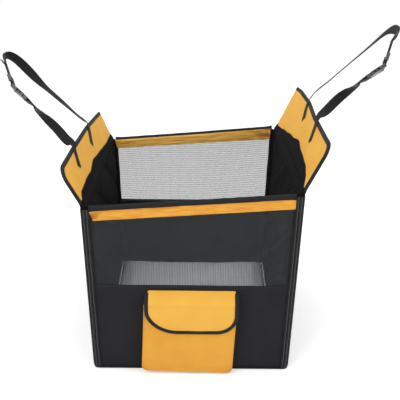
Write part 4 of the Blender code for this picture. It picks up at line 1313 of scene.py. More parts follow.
# Flaps above the side walls
flapLook = {
    "halfLength": 0.298, "start": 0.0063, "thickness": 0.007, "corner": 0.034, "cornerSteps": 12,
    "rimSteps": 24, "hingeInset": 0.005, "steps": 110, "inset": 0.008, "endGap": 0.001,
    "nearGap": 0.009, "seamAbove": 0.001, "layerIn": 0.001, "archStrip": 0.004,
}
sides = {
    "left": {
        "tilt": radians(24), "nearLength": 0.116, "farLength": 0.092, "flare": 0.022, "arch": 0.024,
        "loop": 0.283, "bar": (-1.34, 0.758), "pull": radians(226), "buckle": radians(252),
        "roll": radians(68), "halfTurns": (-1, -1), "sewn": (0.92, -1.455), "lean": (1.43, 0.75),
        "sewnLength": (0.039, 0.046),
        "farRoute": [
            (1.03, 0.11, 0.1), (0.96, 0.25, 0.02), (0.84, 0.39, -0.12), (0.7, 0.54, -0.06),
            (0.63, 0.68, -0.45), (0.65, 0.82, -0.8), (0.62, 0.95, -1.0), (0.35, 1.03, -1.05),
            (-0.05, 1.02, -0.36),
        ],
        "nearRoute": [
            (-1.34, 0.09, -0.82), (-1.17, 0.225, -0.94), (-1.22, 0.35, -1.1), (-1.27, 0.45, -1.5),
        ],
        "leadTwist": (0.06, -0.55),
        "seam": [
            (0, 0.0075), (0.063, 0.025), (0.2, 0.027), (0.33, 0.0245), (0.44, 0.033), (0.57, 0.027),
            (0.73, 0.018), (0.87, 0.0095), (1, 0.008),
        ],
        "rimChange": [(0, -0.003), (0.35, 0.004), (0.6, 0.007), (0.85, 0.004), (1, 0.001)],
        "nearCorner": -0.005,
    },
    "right": {
        "tilt": radians(25), "nearLength": 0.142, "farLength": 0.143, "flare": 0.008, "arch": 0.058,
        "loop": 0.305, "bar": (-1.65, 0.68), "pull": radians(228), "buckle": radians(266),
        "roll": radians(-68), "halfTurns": (0, 0), "sewn": (0.8, -1.04), "lean": (1.18, 0.7),
        "sewnLength": (0.036, 0.052),
        "farRoute": [
            (1.24, 0.105, -0.1), (1.3, 0.16, -0.12), (1.08, 0.27, -0.13), (0.98, 0.4, -0.14),
            (0.8, 0.58, -0.13), (0.62, 0.74, -0.08), (0.54, 0.87, -0.02), (0.38, 0.98, 0.12),
            (-0.05, 1.0, 0.4), (-0.6, 0.98, 0.28),
        ],
        "nearRoute": [(-0.88, 0.098, 0.66), (-0.8, 0.235, 0.86), (-0.96, 0.35, 1.18), (-1.16, 0.43, 1.6)],
        "leadTwist": (-0.06, 0.42),
        "seam": [
            (0, 0.0085), (0.075, 0.034), (0.15, 0.046), (0.32, 0.052), (0.43, 0.06), (0.59, 0.046),
            (0.76, 0.032), (0.9, 0.017), (1, 0.009),
        ],
        "rimChange": [(0, -0.004), (0.35, 0.0), (0.62, 0.011), (0.88, 0.009), (1, 0.003)],
        "nearCorner": -0.004,
    },
}


def eased(stops, share):
    # A gently rounded height through a few stops of place and height.
    for (here, low), (there, high) in zip(stops, stops[1:]):
        if share <= there:
            t = (share - here) / (there - here)
            return between(low, high, (t + smooth(t)) / 2)
    return stops[-1][1]


class Flap:
    # A flap's own plane: along the fold, up the flap, and lifted off its middle toward the seat.
    def __init__(self, name):
        self.name = name
        self.hand = hands[name]
        self.shape = sides[name]
        tilt = self.shape["tilt"]
        x = self.hand * (seat["halfWidth"] - flapLook["hingeInset"])
        self.axis = Vector((x, 0, seat["heights"][name]))
        self.up = Vector((self.hand * sin(tilt), 0, cos(tilt)))
        self.inward = Vector((-self.hand * cos(tilt), 0, sin(tilt)))

    def at(self, y, up, lift=0.0):
        return self.axis + self.up * up + self.inward * lift + yUnit * y

    def rim(self, y):
        half = flapLook["halfLength"]
        share = (y + half - flapLook["corner"]) / (2 * half - flapLook["corner"])
        return between(self.shape["nearLength"], self.shape["farLength"], share)

    def outline(self, inset, count):
        # From the near end of the fold, up the near edge, round the corner, to the far end.
        half, corner = flapLook["halfLength"], flapLook["corner"]
        change, steps = self.shape["rimChange"], flapLook["cornerSteps"]
        middleY = -half - self.shape["flare"] + corner - self.shape["nearCorner"]
        middleUp = self.shape["nearLength"] - corner + change[0][1]
        line = [Vector((-half + inset, flapLook["start"], 0))]
        for step in range(steps + 1):
            turn = pi - pi / 2 * step / steps
            y, up = (corner - inset) * cos(turn), (corner - inset) * sin(turn)
            line.append(Vector((middleY + y, middleUp + up, 0)))
        for step in range(1, flapLook["rimSteps"] + 1):
            share = step / flapLook["rimSteps"]
            y = between(middleY, half, share)
            line.append(Vector((y, self.rim(y) + eased(change, share) - inset, 0)))
        return evenly(line, count)

    def seam(self, share):
        # The seam between the yellow and the black cloth: a place in the flap's own plane.
        half, lowest = flapLook["halfLength"], flapLook["start"] + flapLook["seamAbove"]
        y = between(-half + flapLook["nearGap"], half - flapLook["endGap"], share)
        wobble = seamWobble["depth"] * sin(seamWobble["turns"] * share) * bowed(share)
        return Vector((y, max(eased(self.shape["seam"], share) + wobble, lowest), 0))


seamWobble = {"depth": 0.0008, "turns": 31}
creaseLook = {
    "fold": (0.055, 1, 0.045), "foldDepth": 0.0007, "pucker": 0.0007, "puckerPitch": 0.017,
    "puckerFade": 0.1, "rounding": 0.5, "endShare": 0.002, "edgeFade": 12,
}


def panelOf(flap, low, high, lift, swollen, seed):
    # A sheet between a lower and an upper line in the flap's plane.
    look, steps = creaseLook, flapLook["steps"]

    def place(u, v):
        number = u * steps
        index = min(int(number), steps - 1)
        lower = low[index].lerp(low[index + 1], number - index)
        upper = high[index].lerp(high[index + 1], number - index)
        spot = lower.lerp(upper, v)
        folds = ripple((spot.x, seed, spot.y), look["fold"], look["foldDepth"])
        pucker = look["pucker"] * sin(spot.x * 2 * pi / look["puckerPitch"]) * exp(-v / look["puckerFade"])
        along = clamped(u, look["endShare"], 1 - look["endShare"])
        full = swollen * (bowed(v) * bowed(along)) ** look["rounding"]
        edge = min(v * look["edgeFade"], (1 - v) * look["edgeFade"], 1)
        return flap.at(spot.x, spot.y, lift + full + (folds + pucker) * edge)
    return place


flapLayers = {
    "facing": {"rows": 30, "lift": -0.0004, "swollen": 0.0002, "seed": 3},
    "lining": {"rows": 12, "lift": -0.001, "swollen": 0.0016, "seed": 9, "lap": 0.0016, "over": 0.002},
    "backing": {"rows": 24, "lift": 0.0002, "swollen": -0.0004, "seed": 6},
    "footDrop": 0.002, "cloth": 0.0012,
}


def makeLayers(flap):
    # The flap's cloths: yellow facing, the black lining below its seam, and the black backing.
    name, body = flap.name, f"{flap.name}_flap"
    steps, half, inset = flapLook["steps"], flapLook["halfLength"], flapLook["inset"]
    tall = max(flap.shape["nearLength"], flap.shape["farLength"])
    board, layer = f"{name}_flap_board", flapLook["thickness"] / 2 - flapLook["layerIn"]
    top = flap.outline(inset, steps)
    seam = [flap.seam(share) for share in evenSteps(0, 1, steps)]
    footUp = flapLook["start"] - flapLayers["footDrop"]
    foot = [Vector((y, footUp, 0)) for y in evenSteps(-half + inset, half, steps)]

    def layered(kind, low, high, base, finish):
        shape = flapLayers[kind]
        place = panelOf(flap, low, high, base + shape["lift"], shape["swollen"], shape["seed"] * flap.hand)
        look = {"grid": (steps, shape["rows"]), "cloth": flapLayers["cloth"]}
        return clothGrid(f"{name}Flap{kind.capitalize()}", look, place, finish, f"{name}_flap_{kind}", body)

    facing = layered("facing", seam, top, layer, "flapYellow")
    lifted = [point + Vector((0, flapLayers["lining"]["lap"], 0)) for point in seam]
    lining = layered("lining", foot, lifted, layer, "liningCloth")
    backing = layered("backing", foot, top, -layer, "blackCloth")


wrapLook = {
    "section": [
        (0.0103, 0.0027), (0.0101, 0.0033), (0.008, 0.0036), (0.004, 0.0037), (0.0014, 0.0034),
        (0.0001, 0.0023), (-0.0004, 0.0), (0.0001, -0.0023), (0.0014, -0.0034), (0.004, -0.0037),
        (0.008, -0.0036), (0.0101, -0.0033), (0.0103, -0.0027),
    ],
    "steps": 170, "looseness": 0.05, "looseAlong": 40, "lumpAlong": 55, "lumpAcross": 100,
    "hem": [
        (0.006, 0.0026), (0.0058, 0.0033), (0.002, 0.0034), (0.0, 0.0026),
        (-0.0004, 0), (0, -0.0026), (0.002, -0.0034), (0.006, -0.0033),
    ],
    "hemSteps": 30, "hemTop": 0.001,
}


def bindFlap(flap):
    # The tape round a flap's rim, and the yellow hem that closes its far end.
    look, body, hand = wrapLook, f"{flap.name}_flap", flap.hand
    rim = flap.outline(0.0, look["steps"])
    path = []
    for number, spot in enumerate(rim):
        along = (rim[min(number + 1, len(rim) - 1)] - rim[max(number - 1, 0)]).normalized()
        side = yUnit * along.y + flap.up * -along.x
        path.append((flap.at(spot.x, spot.y), side, flap.inward))

    def wrap(share):
        loose = 1 + ripple((share * look["looseAlong"], hand, 0), (1, 1, 1), look["looseness"])
        shape = []
        for a, b in look["section"]:
            spot = (share * look["lumpAlong"], a * look["lumpAcross"], hand)
            shape.append((a * loose, b * (1 + ripple(spot, (1, 1, 1), look["looseness"]))))
        return shape

    sweep(f"{flap.name}FlapBinding", path, wrap, "bindingTape", body, f"{flap.name}_flap_binding")
    ups = evenSteps(flapLook["start"], flap.shape["farLength"] - look["hemTop"], look["hemSteps"])
    hemPath = [(flap.at(flapLook["halfLength"], up), -yUnit, flap.inward) for up in ups]
    sweep(f"{flap.name}FlapFarHem", hemPath, look["hem"], "flapYellow", body)


flapSeams = {
    "rimInset": 0.0082, "rimSteps": 120, "rimOut": 0.0037,
    "black": {"up": -0.0015, "out": 0.0009}, "yellow": {"up": 0.0042, "out": 0.0005},
}


def sewFlap(flap):
    # Black stitches along both faces of the binding and below the seam, and yellow ones above it.
    look, body = flapSeams, f"{flap.name}_flap"
    layer = flapLook["thickness"] / 2 - flapLook["layerIn"]
    seam = [flap.seam(share) for share in evenSteps(0, 1, flapLook["steps"])[2:-2]]
    for colour in ("black", "yellow"):
        rows, shape = Sewing(), look[colour]
        if colour == "black":
            for lift in (1, -1):
                rim = flap.outline(look["rimInset"], look["rimSteps"])
                out = lift * look["rimOut"]
                rows.row([flap.at(spot.x, spot.y, out) for spot in rim], flap.inward * lift)
        rows.row([flap.at(p.x, p.y + shape["up"], layer + shape["out"]) for p in seam], flap.inward)
        rows.made(f"{flap.name}Flap{colour.capitalize()}Stitches", f"{colour}Thread", body)


foldLook = {
    "section": [
        (-0.0092, -0.0125), (-0.01, -0.008), (-0.0098, -0.004), (-0.0086, 0.0), (-0.007, 0.0035),
        (-0.006, 0.007), (-0.0052, 0.01), (-0.0044, 0.0125), (0.0038, 0.0125), (0.0046, 0.009),
        (0.0054, 0.005), (0.006, 0.0), (0.0058, -0.005), (0.0054, -0.0125),
    ],
    "rows": 110, "short": 0.0005, "pinch": 0.22, "pinchWidth": 0.004, "lump": 0.1, "lumpAlong": 60,
    "lumpAround": 0.7, "blendLow": 0.005, "blendHigh": 0.006,
}


def makeFold(flap):
    # The cloth that runs from the wall over the fold to the flap, closed round the hinge line.
    look, half, hand, loop = foldLook, flapLook["halfLength"], flap.hand, foldLook["section"]
    points = []
    for share in evenSteps(0, 1, look["rows"]):
        y = between(-half + look["short"], half - look["short"], share)
        pinch = 1 - look["pinch"] * nearness(min(share, 1 - share) * 2 * half, look["pinchWidth"])
        for number, (out, rise) in enumerate(loop):
            spot = (y * look["lumpAlong"], number * look["lumpAround"], hand)
            lump = 1 + ripple(spot, (1, 1, 1), look["lump"])
            if rise > 0:
                points.append(flap.at(y, rise, -out * lump * pinch))
            else:
                points.append(flap.axis + Vector((hand * out * lump * pinch, y, rise)))
    faces = gridFaces(len(loop), look["rows"], ring=True) + caps(len(loop), len(points))
    label, node = f"{flap.name}FoldCloth", f"{flap.name}_fold_roll"
    fold = addPiece(label, points, faces, "liningCloth", None, node, sharp=edgeAngles["strip"])
    flap.at(0, look["blendHigh"])
    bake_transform(fold)


flaps = {name: Flap(name) for name in hands}
for flap in flaps.values():
    makeLayers(flap)
    bindFlap(flap)
    sewFlap(flap)
    makeFold(flap)
print("flaps made")


# Webbing loops, sliders and buckles
strapLook = {
    "width": 0.025, "thickness": 0.0015, "lead": 0.01, "sewnWidth": 0.74, "spread": 0.095,
    "loopTilt": radians(42), "straight": 0.073, "tail": 0.068, "tailCurl": 0.016, "tailLift": 0.006,
    "lap": 0.022, "merge": 0.014, "sewnStations": 14, "easingStations": 6, "foldedStations": 5,
    "openingStations": 4, "nearBlendStation": 18, "perSpan": 5, "clearance": 0.0003, "wrapSteps": 8,
    "tailShares": (0.25, 0.5, 0.75, 1),
    "section": [
        (-1, 0.35), (-0.93, 0.92), (-0.8, 1.0), (-0.5, 0.93), (0, 0.93), (0.5, 0.93), (0.8, 1.0),
        (0.93, 0.92), (1, 0.35),
    ],
}
buckleLook = {
    "bar": 0.003, "sliderRest": 0.024, "sliderLength": 0.02, "socketLength": 0.04, "insertWeb": 0.004,
    "slot": 0.0055, "thickness": 0.0095, "blendGap": 0.002,
}
stack = (strapLook["thickness"] + strapLook["clearance"]) / 2
wrapRadius = buckleLook["bar"] / 2 * sqrt(2) + strapLook["clearance"] + strapLook["thickness"] / 2
insertStart = buckleLook["socketLength"] + strapLook["clearance"]
insertBar = insertStart + buckleLook["insertWeb"] + buckleLook["slot"] + buckleLook["bar"] / 2


def station(place, twist):
    return Vector((place.x, place.y, place.z, twist))


def smoothCurve(points, perSpan):
    # A smooth line of stations that is drawn toward the given ones (a cubic B-spline).
    curve = []
    for p, q, r, s in zip(points, points[1:], points[2:], points[3:]):
        for step in range(perSpan):
            t = step / perSpan
            weights = ((1 - t) ** 3, 3 * t**3 - 6 * t**2 + 4, -3 * t**3 + 3 * t**2 + 3 * t + 1, t**3)
            curve.append(sum((w * x for w, x in zip(weights, (p, q, r, s))), Vector((0, 0, 0, 0))) / 6)
    curve.append((points[-3] + 4 * points[-2] + points[-1]) / 6)
    return curve


class Loop:
    # The plane in which a side's webbing hangs, and the directions at its buckle.
    def __init__(self, flap):
        self.flap, self.shape = flap, flap.shape
        tilt, hand = strapLook["loopTilt"], flap.hand
        self.up = Vector((hand * sin(tilt), 0, cos(tilt)))
        self.inward = Vector((-hand * cos(tilt), 0, sin(tilt)))
        self.edge = flap.at(0.0, flap.rim(0.0))
        roll = self.shape["roll"]
        turn = Matrix.Rotation(roll, 3, self.direction((self.shape["pull"] + self.shape["buckle"]) / 2))
        self.pull, self.inside = self.turned(turn, self.shape["pull"])
        self.ahead, self.beside = self.turned(turn, self.shape["buckle"])
        self.across = turn @ self.inward
        farTurns, nearTurns = self.shape["halfTurns"]
        self.farTwist = 1 + 2 * roll / pi + 2 * farTurns
        self.nearTwist = 1 - 2 * roll / pi + 2 * nearTurns
        self.farNormal = self.across * (-1) ** farTurns
        self.nearNormal = self.across * (-1) ** nearTurns
        self.bar = self.shared(self.shape["bar"])

    def turned(self, turn, angle):
        return (turn @ self.direction(angle + more) for more in (0, pi / 2))

    def direction(self, turn):
        return Vector((0, cos(turn), 0)) + self.up * sin(turn)

    def shared(self, share):
        across, up, *twist = share
        place = self.edge + yUnit * (across * strapLook["spread"]) + self.up * (up * self.shape["loop"])
        return station(place, twist[0]) if twist else place

    def sewn(self, which):
        y = self.shape["sewn"][which] * strapLook["spread"]
        lean, rim = self.shape["lean"][which], self.flap.rim(y)
        lift = flapLook["thickness"] / 2 + strapLook["clearance"] + strapLook["thickness"] / 2
        length = self.shape["sewnLength"][which]
        line = []
        for stop in (-length, -length, -length / 2, 0.0, strapLook["lead"]):
            twist = self.shape["leadTwist"][which] if stop > 0 else 0.0
            line.append(station(self.flap.at(y + lean * stop, rim + stop, lift), twist))
        return line

    def besidePull(self, back, offset, twist=1.0):
        return station(self.bar - self.pull * back + self.inside * offset, twist)

    def besideBuckle(self, along, offset, twist=1.0):
        return station(self.bar + self.ahead * (insertBar + along) + self.beside * offset, twist)

    def wrapped(self, bar, away, beside):
        line = []
        for step in range(strapLook["wrapSteps"] + 1):
            turn = pi / 2 - pi * step / strapLook["wrapSteps"]
            place = bar + away * (wrapRadius * cos(turn)) + beside * (wrapRadius * sin(turn))
            line.append(station(place, 1.0))
        return line

    def longRoute(self):
        merge, straight, tail = strapLook["merge"], strapLook["straight"], strapLook["tail"]
        lead = [self.besidePull(straight + step * merge, stack, self.farTwist) for step in (1, 0, -1)]
        led = self.sewn(0) + [self.shared(share) for share in self.shape["farRoute"]] + lead
        rest = buckleLook["sliderRest"] + buckleLook["sliderLength"] / 2
        buckled = [self.besidePull(back, stack) for back in (rest, merge)]
        buckled += self.wrapped(self.bar, self.pull, self.inside)
        buckled += [self.besidePull(back, -stack) for back in (merge, rest, tail)]
        curl, lift = strapLook["tailCurl"], strapLook["tailLift"]
        for share in strapLook["tailShares"]:
            buckled.append(self.besidePull(tail + curl * share, -stack - lift * share**2))
        return self.frames(led, buckled, self.farNormal)

    def nearStrapRoute(self):
        lap, merge = strapLook["lap"], strapLook["merge"]
        lead = [self.besideBuckle(lap + step * merge, stack, self.nearTwist) for step in (1, 0, -1)]
        led = self.sewn(1) + [self.shared(share) for share in self.shape["nearRoute"]] + lead
        buckled = self.wrapped(self.bar + self.ahead * insertBar, -self.ahead, self.beside)
        buckled += [self.besideBuckle(along, -stack) for along in (merge, lap)]
        return self.frames(led, buckled, self.nearNormal)

    def frames(self, led, buckled, normal):
        # The webbing's places, each with the direction across it and the one off its face.
        smooth = led[:1] + smoothCurve(led[1:], strapLook["perSpan"])
        stations = smooth + buckled
        places = [stop.to_3d() for stop in stations]
        path = []
        for number, place in enumerate(places):
            share = min(max((number - strapLook["sewnStations"]) / strapLook["easingStations"], 0), 1)
            facing = self.flap.inward.lerp(self.inward, share) if number < len(smooth) else normal
            before, after = places[max(number - 1, 0)], places[min(number + 1, len(places) - 1)]
            along = (after - before).normalized()
            flat = facing.cross(along).normalized()
            twist = stations[number].w * pi / 2
            across = flat * cos(twist) + along.cross(flat) * sin(twist)
            path.append((place, across, across.cross(along).normalized()))
        return path


def webbingSection(stations):
    # The webbing is folded narrower where it is sewn to the flap.
    look = strapLook

    def section(share):
        number = share * (stations - 1)
        opened = clamped((number - look["sewnStations"] + look["foldedStations"]) / look["openingStations"])
        wide = between(look["sewnWidth"], 1, smooth(opened))
        half, thick = look["width"] / 2 * wide, look["thickness"] / 2
        upper = [(half * across, thick * height) for across, height in look["section"]]
        return upper + [(a, -b) for a, b in reversed(upper)]
    return section


boxSeam = {
    "base": 1, "level": 2, "span": (3, 8), "inset": 0.0022, "out": 0.0002, "start": 0.004, "short": 0.008,
    "bars": 5, "firstBar": 0.0012, "barPitch": 0.0006,
    "bar": {"length": 0.0016, "gap": 0.0002, "radius": 0.00032},
}


def sewnBox(rows, path, length):
    # A box of stitches with a cross in it, and a dense bar at the end, through the sewn webbing.
    base, (level, across, face) = path[boxSeam["base"]][0], path[boxSeam["level"]]
    first, last = boxSeam["span"]
    along = (path[last][0] - path[first][0]).normalized()
    across = (across - along * across.dot(along)).normalized()
    half = strapLook["width"] / 2 * strapLook["sewnWidth"] - boxSeam["inset"]
    above = face * (strapLook["thickness"] / 2 + boxSeam["out"])

    def spot(a, b):
        return base + along * a + across * b + above

    low, high = boxSeam["start"], length - boxSeam["short"]
    corners = [spot(low, -half), spot(low, half), spot(high, half), spot(high, -half)]
    for here, there in zip(corners, corners[1:] + corners[:1]):
        rows.row([here, there], face)
    rows.row([corners[0], corners[2]], face)
    rows.row([corners[1], corners[3]], face)
    for number in range(boxSeam["bars"]):
        a = boxSeam["firstBar"] + number * boxSeam["barPitch"]
        rows.row([spot(a, -half), spot(a, half)], face, boxSeam["bar"])


# Raised grip ribs on both faces of a buckle: how far along it they start, and how far out they lie.
ribLook = {
    "pitch": 0.0022, "radius": 0.00055, "count": 2, "sunk": 0.0001,
    "section": [(-1, 0), (-0.7, 0.7), (0, 1), (0.7, 0.7), (1, 0)],
    "socket": {"first": 0.0125, "half": 0.0095, "lift": buckleLook["thickness"] / 2},
    "insert": {"first": insertStart + 0.0008, "half": 0.0105, "lift": 0.004},
}


def ribsOn(loop, name, kind, body):
    points, faces = [], []
    look, shape, radius = ribLook, ribLook[kind], ribLook["radius"]
    width = len(look["section"])
    for side in (1, -1):
        out = loop.ahead.cross(loop.across).normalized() * side
        for number in range(look["count"]):
            middle = loop.bar + loop.ahead * (shape["first"] + number * look["pitch"])
            base = len(points)
            for end in (-shape["half"], shape["half"]):
                for a, b in look["section"]:
                    rise = shape["lift"] + b * radius - look["sunk"]
                    points.append(middle + loop.across * end + loop.ahead * (a * radius) + out * rise)
            ridge = gridFaces(width - 1, 1) + caps(width, 2 * width)
            ridge.append((0, width, 2 * width - 1, width - 1))
            faces += [tuple(base + corner for corner in face) for face in ridge]
    addPiece(name, points, faces, "bucklePlastic", body, sharp=edgeAngles["ribs"])


def makeStrap(name, which, path, body):
    label, node = f"{name}{which.capitalize()}Strap", f"{name}_{which}_strap"
    return sweep(label, path, webbingSection(len(path)), "webbing", body, node, ring=True, capped=True)


for name, flap in flaps.items():
    loop, body = Loop(flap), f"{name}_flap"
    longPath, nearPath = loop.longRoute(), loop.nearStrapRoute()
    makeStrap(name, "long", longPath, body)
    nearStrap = makeStrap(name, "near", nearPath, None)
    end = loop.bar + loop.ahead * (insertBar + strapLook["lap"] + buckleLook["blendGap"])
    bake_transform(nearStrap)
    rows = Sewing()
    for path, length in zip((longPath, nearPath), flap.shape["sewnLength"]):
        sewnBox(rows, path, length)
    rows.made(f"{name}StrapStitches", "blackThread", body)
    ribsOn(loop, f"{name}SocketRibs", "socket", body)
    ribsOn(loop, f"{name}InsertRibs", "insert", f"{name}_insert")
print("webbing made")


# The pocket on the front
pocket = {
    "grid": (84, 66), "cloth": 0.0016, "half": 0.119, "centre": -0.002, "lean": -0.009, "top": 0.212,
    "bottom": 0.004, "corner": 0.014, "rise": 0.0075, "riseHeight": 0.09, "riseShare": 0.62,
    "face": 0.323, "recess": 0.001, "spacing": 0.85,
    "rounding": {"power": 0.45, "endShare": 0.001},
    "belly": {"at": 0.055, "width": 0.05, "depth": 0.0062},
    "tuck": {"at": 0.012, "width": 0.012, "depth": 0.0016},
    "fold": {"size": (0.045, 1, 0.028), "depth": 0.0016, "seed": 1.5},
    "slant": {"size": (0.022, 1, 0.06), "depth": 0.0008, "seed": 8.5, "shareX": 0.8},
    "sag": 0.002,
    "calm": {"from": 0.115, "width": 0.02, "share": 0.8, "least": 0.1},
}


def pocketSide(z, side):
    # Where the pocket's left or right edge is, at height z. The lower corners are round.
    over = max(pocket["corner"] - (z - pocket["bottom"]), 0)
    cut = pocket["corner"] - sqrt(max(pocket["corner"] ** 2 - over**2, 0))
    shift = pocket["lean"] * (pocket["top"] - z) / (pocket["top"] - pocket["bottom"])
    return pocket["centre"] + shift + side * (pocket["half"] - cut)


def pocketRise(x, z):
    # The pocket's lower edge climbs a little toward the left.
    share = pocket["riseShare"] - x / (2 * pocket["half"])
    return pocket["rise"] * share * max(1 - z / pocket["riseHeight"], 0)


def pocketFront(u, v):
    # Fuller low down, with a tuck above the lower edge, and calm where the flap lies on it.
    belly, tuck, fold, slant, calm = (pocket[part] for part in ("belly", "tuck", "fold", "slant", "calm"))
    z = between(pocket["bottom"], pocket["top"], v ** pocket["spacing"])
    x = between(pocketSide(z, -1), pocketSide(z, 1), u)
    end = pocket["rounding"]["endShare"]
    rounded = bowed(clamped(u, end, 1 - end), pocket["rounding"]["power"])
    full = belly["depth"] * rounded * nearness(z - belly["at"], belly["width"])
    full -= tuck["depth"] * nearness(z - tuck["at"], tuck["width"])
    folds = ripple((x, fold["seed"], z), fold["size"], fold["depth"]) * rounded
    slants = ripple((x * slant["shareX"] + z, slant["seed"], z), slant["size"], slant["depth"]) * rounded
    sag = pocket["sag"] * plateau(u, 2) * (1 - v) ** 2
    loose = 1.0
    if z >= calm["from"]:
        loose = nearness(z - calm["from"], calm["width"]) * calm["share"] + calm["least"]
    out = pocket["face"] - pocket["recess"] + full + (folds + slants) * loose
    return Vector((x, -out, z - sag + pocketRise(x, z)))


front = clothGrid("pocketFront", pocket, pocketFront, "pocketYellow", "pocket_front")

gusset = {
    "grid": (120, 8), "cloth": 0.0014, "sideSteps": 30, "cornerSteps": 6, "dent": 0.003,
    "lump": 0.001, "lumpScale": 30, "lumpAcross": 2, "sag": 0.0018, "recess": 0.0012, "inset": 0.0008,
    "lowest": 0.0012,
    "seam": {"radius": 0.0013, "sides": 8, "out": 0.0004, "drop": 0.0004, "lowest": 0.0016},
}


def gussetSide(side):
    # Down a side of the pocket and round its lower corner.
    steps, turns = gusset["sideSteps"], gusset["cornerSteps"]
    bottom, corner = pocket["bottom"], pocket["corner"]
    heights = evenSteps(pocket["top"], bottom + corner, steps)[:-1]
    heights += [bottom + corner * share for share in cornerShares(turns)]
    return [Vector((pocketSide(z, side), 0, z)) for z in heights]


gussetLine = []
for spot in evenly(gussetSide(-1) + gussetSide(1)[::-1], gusset["grid"][0]):
    gussetLine.append(spot + Vector((0, 0, pocketRise(spot.x, spot.z))))


def frontAt(x, z):
    # How far forward the front panel's cloth stands behind the pocket.
    left, right = (acrossAt(end, z, seat["endTuck"]) for end in (0, 1))
    share = (z - seat["floor"]) / (seat["panelTop"] - seat["floor"])
    return -panelPlace("front")((x - left) / (right - left), clamped(share)).y


def gussetPlace(u, v):
    steps = gusset["grid"][0]
    number = min(int(u * steps), steps - 1)
    spot = gussetLine[number].lerp(gussetLine[number + 1], u * steps - number)
    run = (gussetLine[min(number + 2, steps)] - gussetLine[max(number - 1, 0)]).normalized()
    inner = Vector((-run.z, 0, run.x))
    middle, level = plateau(v, 2), abs(run.x)
    scale = gusset["lumpScale"]
    lumps = ripple((spot.x * scale, spot.z * scale, v * gusset["lumpAcross"]), (1, 1, 1), gusset["lump"])
    dent = gusset["dent"] * middle * (1 - level) + lumps * middle
    sag = gusset["sag"] * plateau(u, 2) * v * level
    depth = between(frontAt(spot.x, spot.z), pocket["face"] - gusset["recess"], v)
    place = Vector((spot.x, -depth, max(spot.z - sag, gusset["lowest"])))
    return place + inner * (gusset["inset"] + dent)


gussetCloth = clothGrid("pocketGusset", gusset, gussetPlace, "pocketYellow", "pocket_gusset")

seam = gusset["seam"]
seamLine = []
for spot in gussetLine:
    z = max(spot.z - seam["drop"], seam["lowest"])
    seamLine.append(Vector((spot.x, -(pocket["face"] + seam["out"]), z)))
cordAlong("pocketSeam", seamLine, -yUnit, seam, "pocketYellow")

pocketFlap = {
    "grid": (80, 60), "cloth": 0.0016, "half": 0.1215, "centre": 0.0005, "hingeZ": 0.238,
    "hingeY": 0.2985, "creaseZ": 0.215, "bottom": 0.1275, "thickness": 0.0024, "gap": 0.0029,
    "bend": 0.006,
    "crease": {"depth": 0.001, "width": 0.006},
    "inset": 0.008, "spacing": 0.55,
    "fill": {"depth": 0.0012, "power": 0.6, "sidePower": 0.5},
    "fold": {"size": (0.05, 1, 0.03), "depth": 0.0011, "seed": 4.5, "fade": 8},
    "ridge": {"at": 0.004, "width": 0.0035, "depth": 0.001, "power": 4},
    "dip": {"at": 0.013, "width": 0.005, "depth": 0.0008},
    "cord": {"radius": 0.0014, "inset": 0.0095, "sides": 10, "steps": 40},
    "tapeStart": 0.006, "tapeSteps": (30, 16),
    "tape": [
        (0.0103, 0.0012), (0.0101, 0.0019), (0.008, 0.0022), (0.004, 0.0023), (0.0014, 0.002),
        (0.0002, 0.0012), (-0.0003, 0.0), (0.0002, -0.0012), (0.0014, -0.0017), (0.004, -0.0018),
        (0.008, -0.0018), (0.0101, -0.0015),
    ],
    "stitch": {"inset": 0.0082, "out": 0.0025},
    "corners": {-1: {"wide": 0.088, "tall": 0.07}, 1: {"wide": 0.056, "tall": 0.055}},
}
creaseY = pocket["face"] + pocketFlap["gap"] + pocketFlap["thickness"] / 2
hinge = Vector((0, -pocketFlap["hingeY"], pocketFlap["hingeZ"]))
crease = Vector((0, -creaseY, pocketFlap["creaseZ"]))
slopeVector = crease - hinge
slopeReach = slopeVector.length
flapReach = slopeReach + pocketFlap["creaseZ"] - pocketFlap["bottom"]


def flapFall(down):
    # Where the pocket's flap is, that far down from its hinge, and the direction off its face.
    bend = pocketFlap["bend"]
    slopeLift = Vector((0, slopeVector.z, -slopeVector.y)).normalized()
    turn = clamped((down - slopeReach + bend) / (2 * bend))
    lift = slopeLift.lerp(-yUnit, smooth(turn)).normalized()
    if down < slopeReach:
        place = hinge + slopeVector.normalized() * down
    else:
        place = crease - Vector((0, 0, down - slopeReach))
    soften = pocketFlap["crease"]["depth"] * nearness(down - slopeReach, pocketFlap["crease"]["width"])
    return place - lift * soften, lift


def flapHalf(down, inset, hand):
    corner = pocketFlap["corners"][hand]
    tall, wide = corner["tall"] - inset, corner["wide"] - inset
    over = min(max(down - (flapReach - corner["tall"]), 0) / tall, 1)
    return pocketFlap["half"] - inset - wide * (1 - sqrt(max(1 - over**2, 0)))


def flapCloth(u, v):
    # The rows close up toward the round lower corners. A ridge and a dip follow the crease.
    inset, straight = pocketFlap["inset"], pocketFlap["spacing"]
    fill, fold, ridge, dip = (pocketFlap[part] for part in ("fill", "fold", "ridge", "dip"))
    closing = 1 - straight
    share = v if v < straight else straight + closing * sin((v - straight) / closing * pi / 2)
    down = (flapReach - inset) * share
    place, lift = flapFall(down)
    across = 2 * u - 1
    x = pocketFlap["centre"] + between(-flapHalf(down, inset, -1), flapHalf(down, inset, 1), u)
    raised = fill["depth"] * bowed(v, fill["power"]) * (1 - across**2) ** fill["sidePower"]
    raised += ripple((x, fold["seed"], down), fold["size"], fold["depth"]) * min(v * fold["fade"], 1)
    below = down - slopeReach
    raised += ridge["depth"] * nearness(below - ridge["at"], ridge["width"]) * (1 - across ** ridge["power"])
    raised -= dip["depth"] * nearness(below - dip["at"], dip["width"])
    return Vector((x, 0, 0)) + place + lift * raised


flapSheet = clothGrid("pocketFlap", pocketFlap, flapCloth, "flapYellow", "pocket_flap", "pocket_flap")


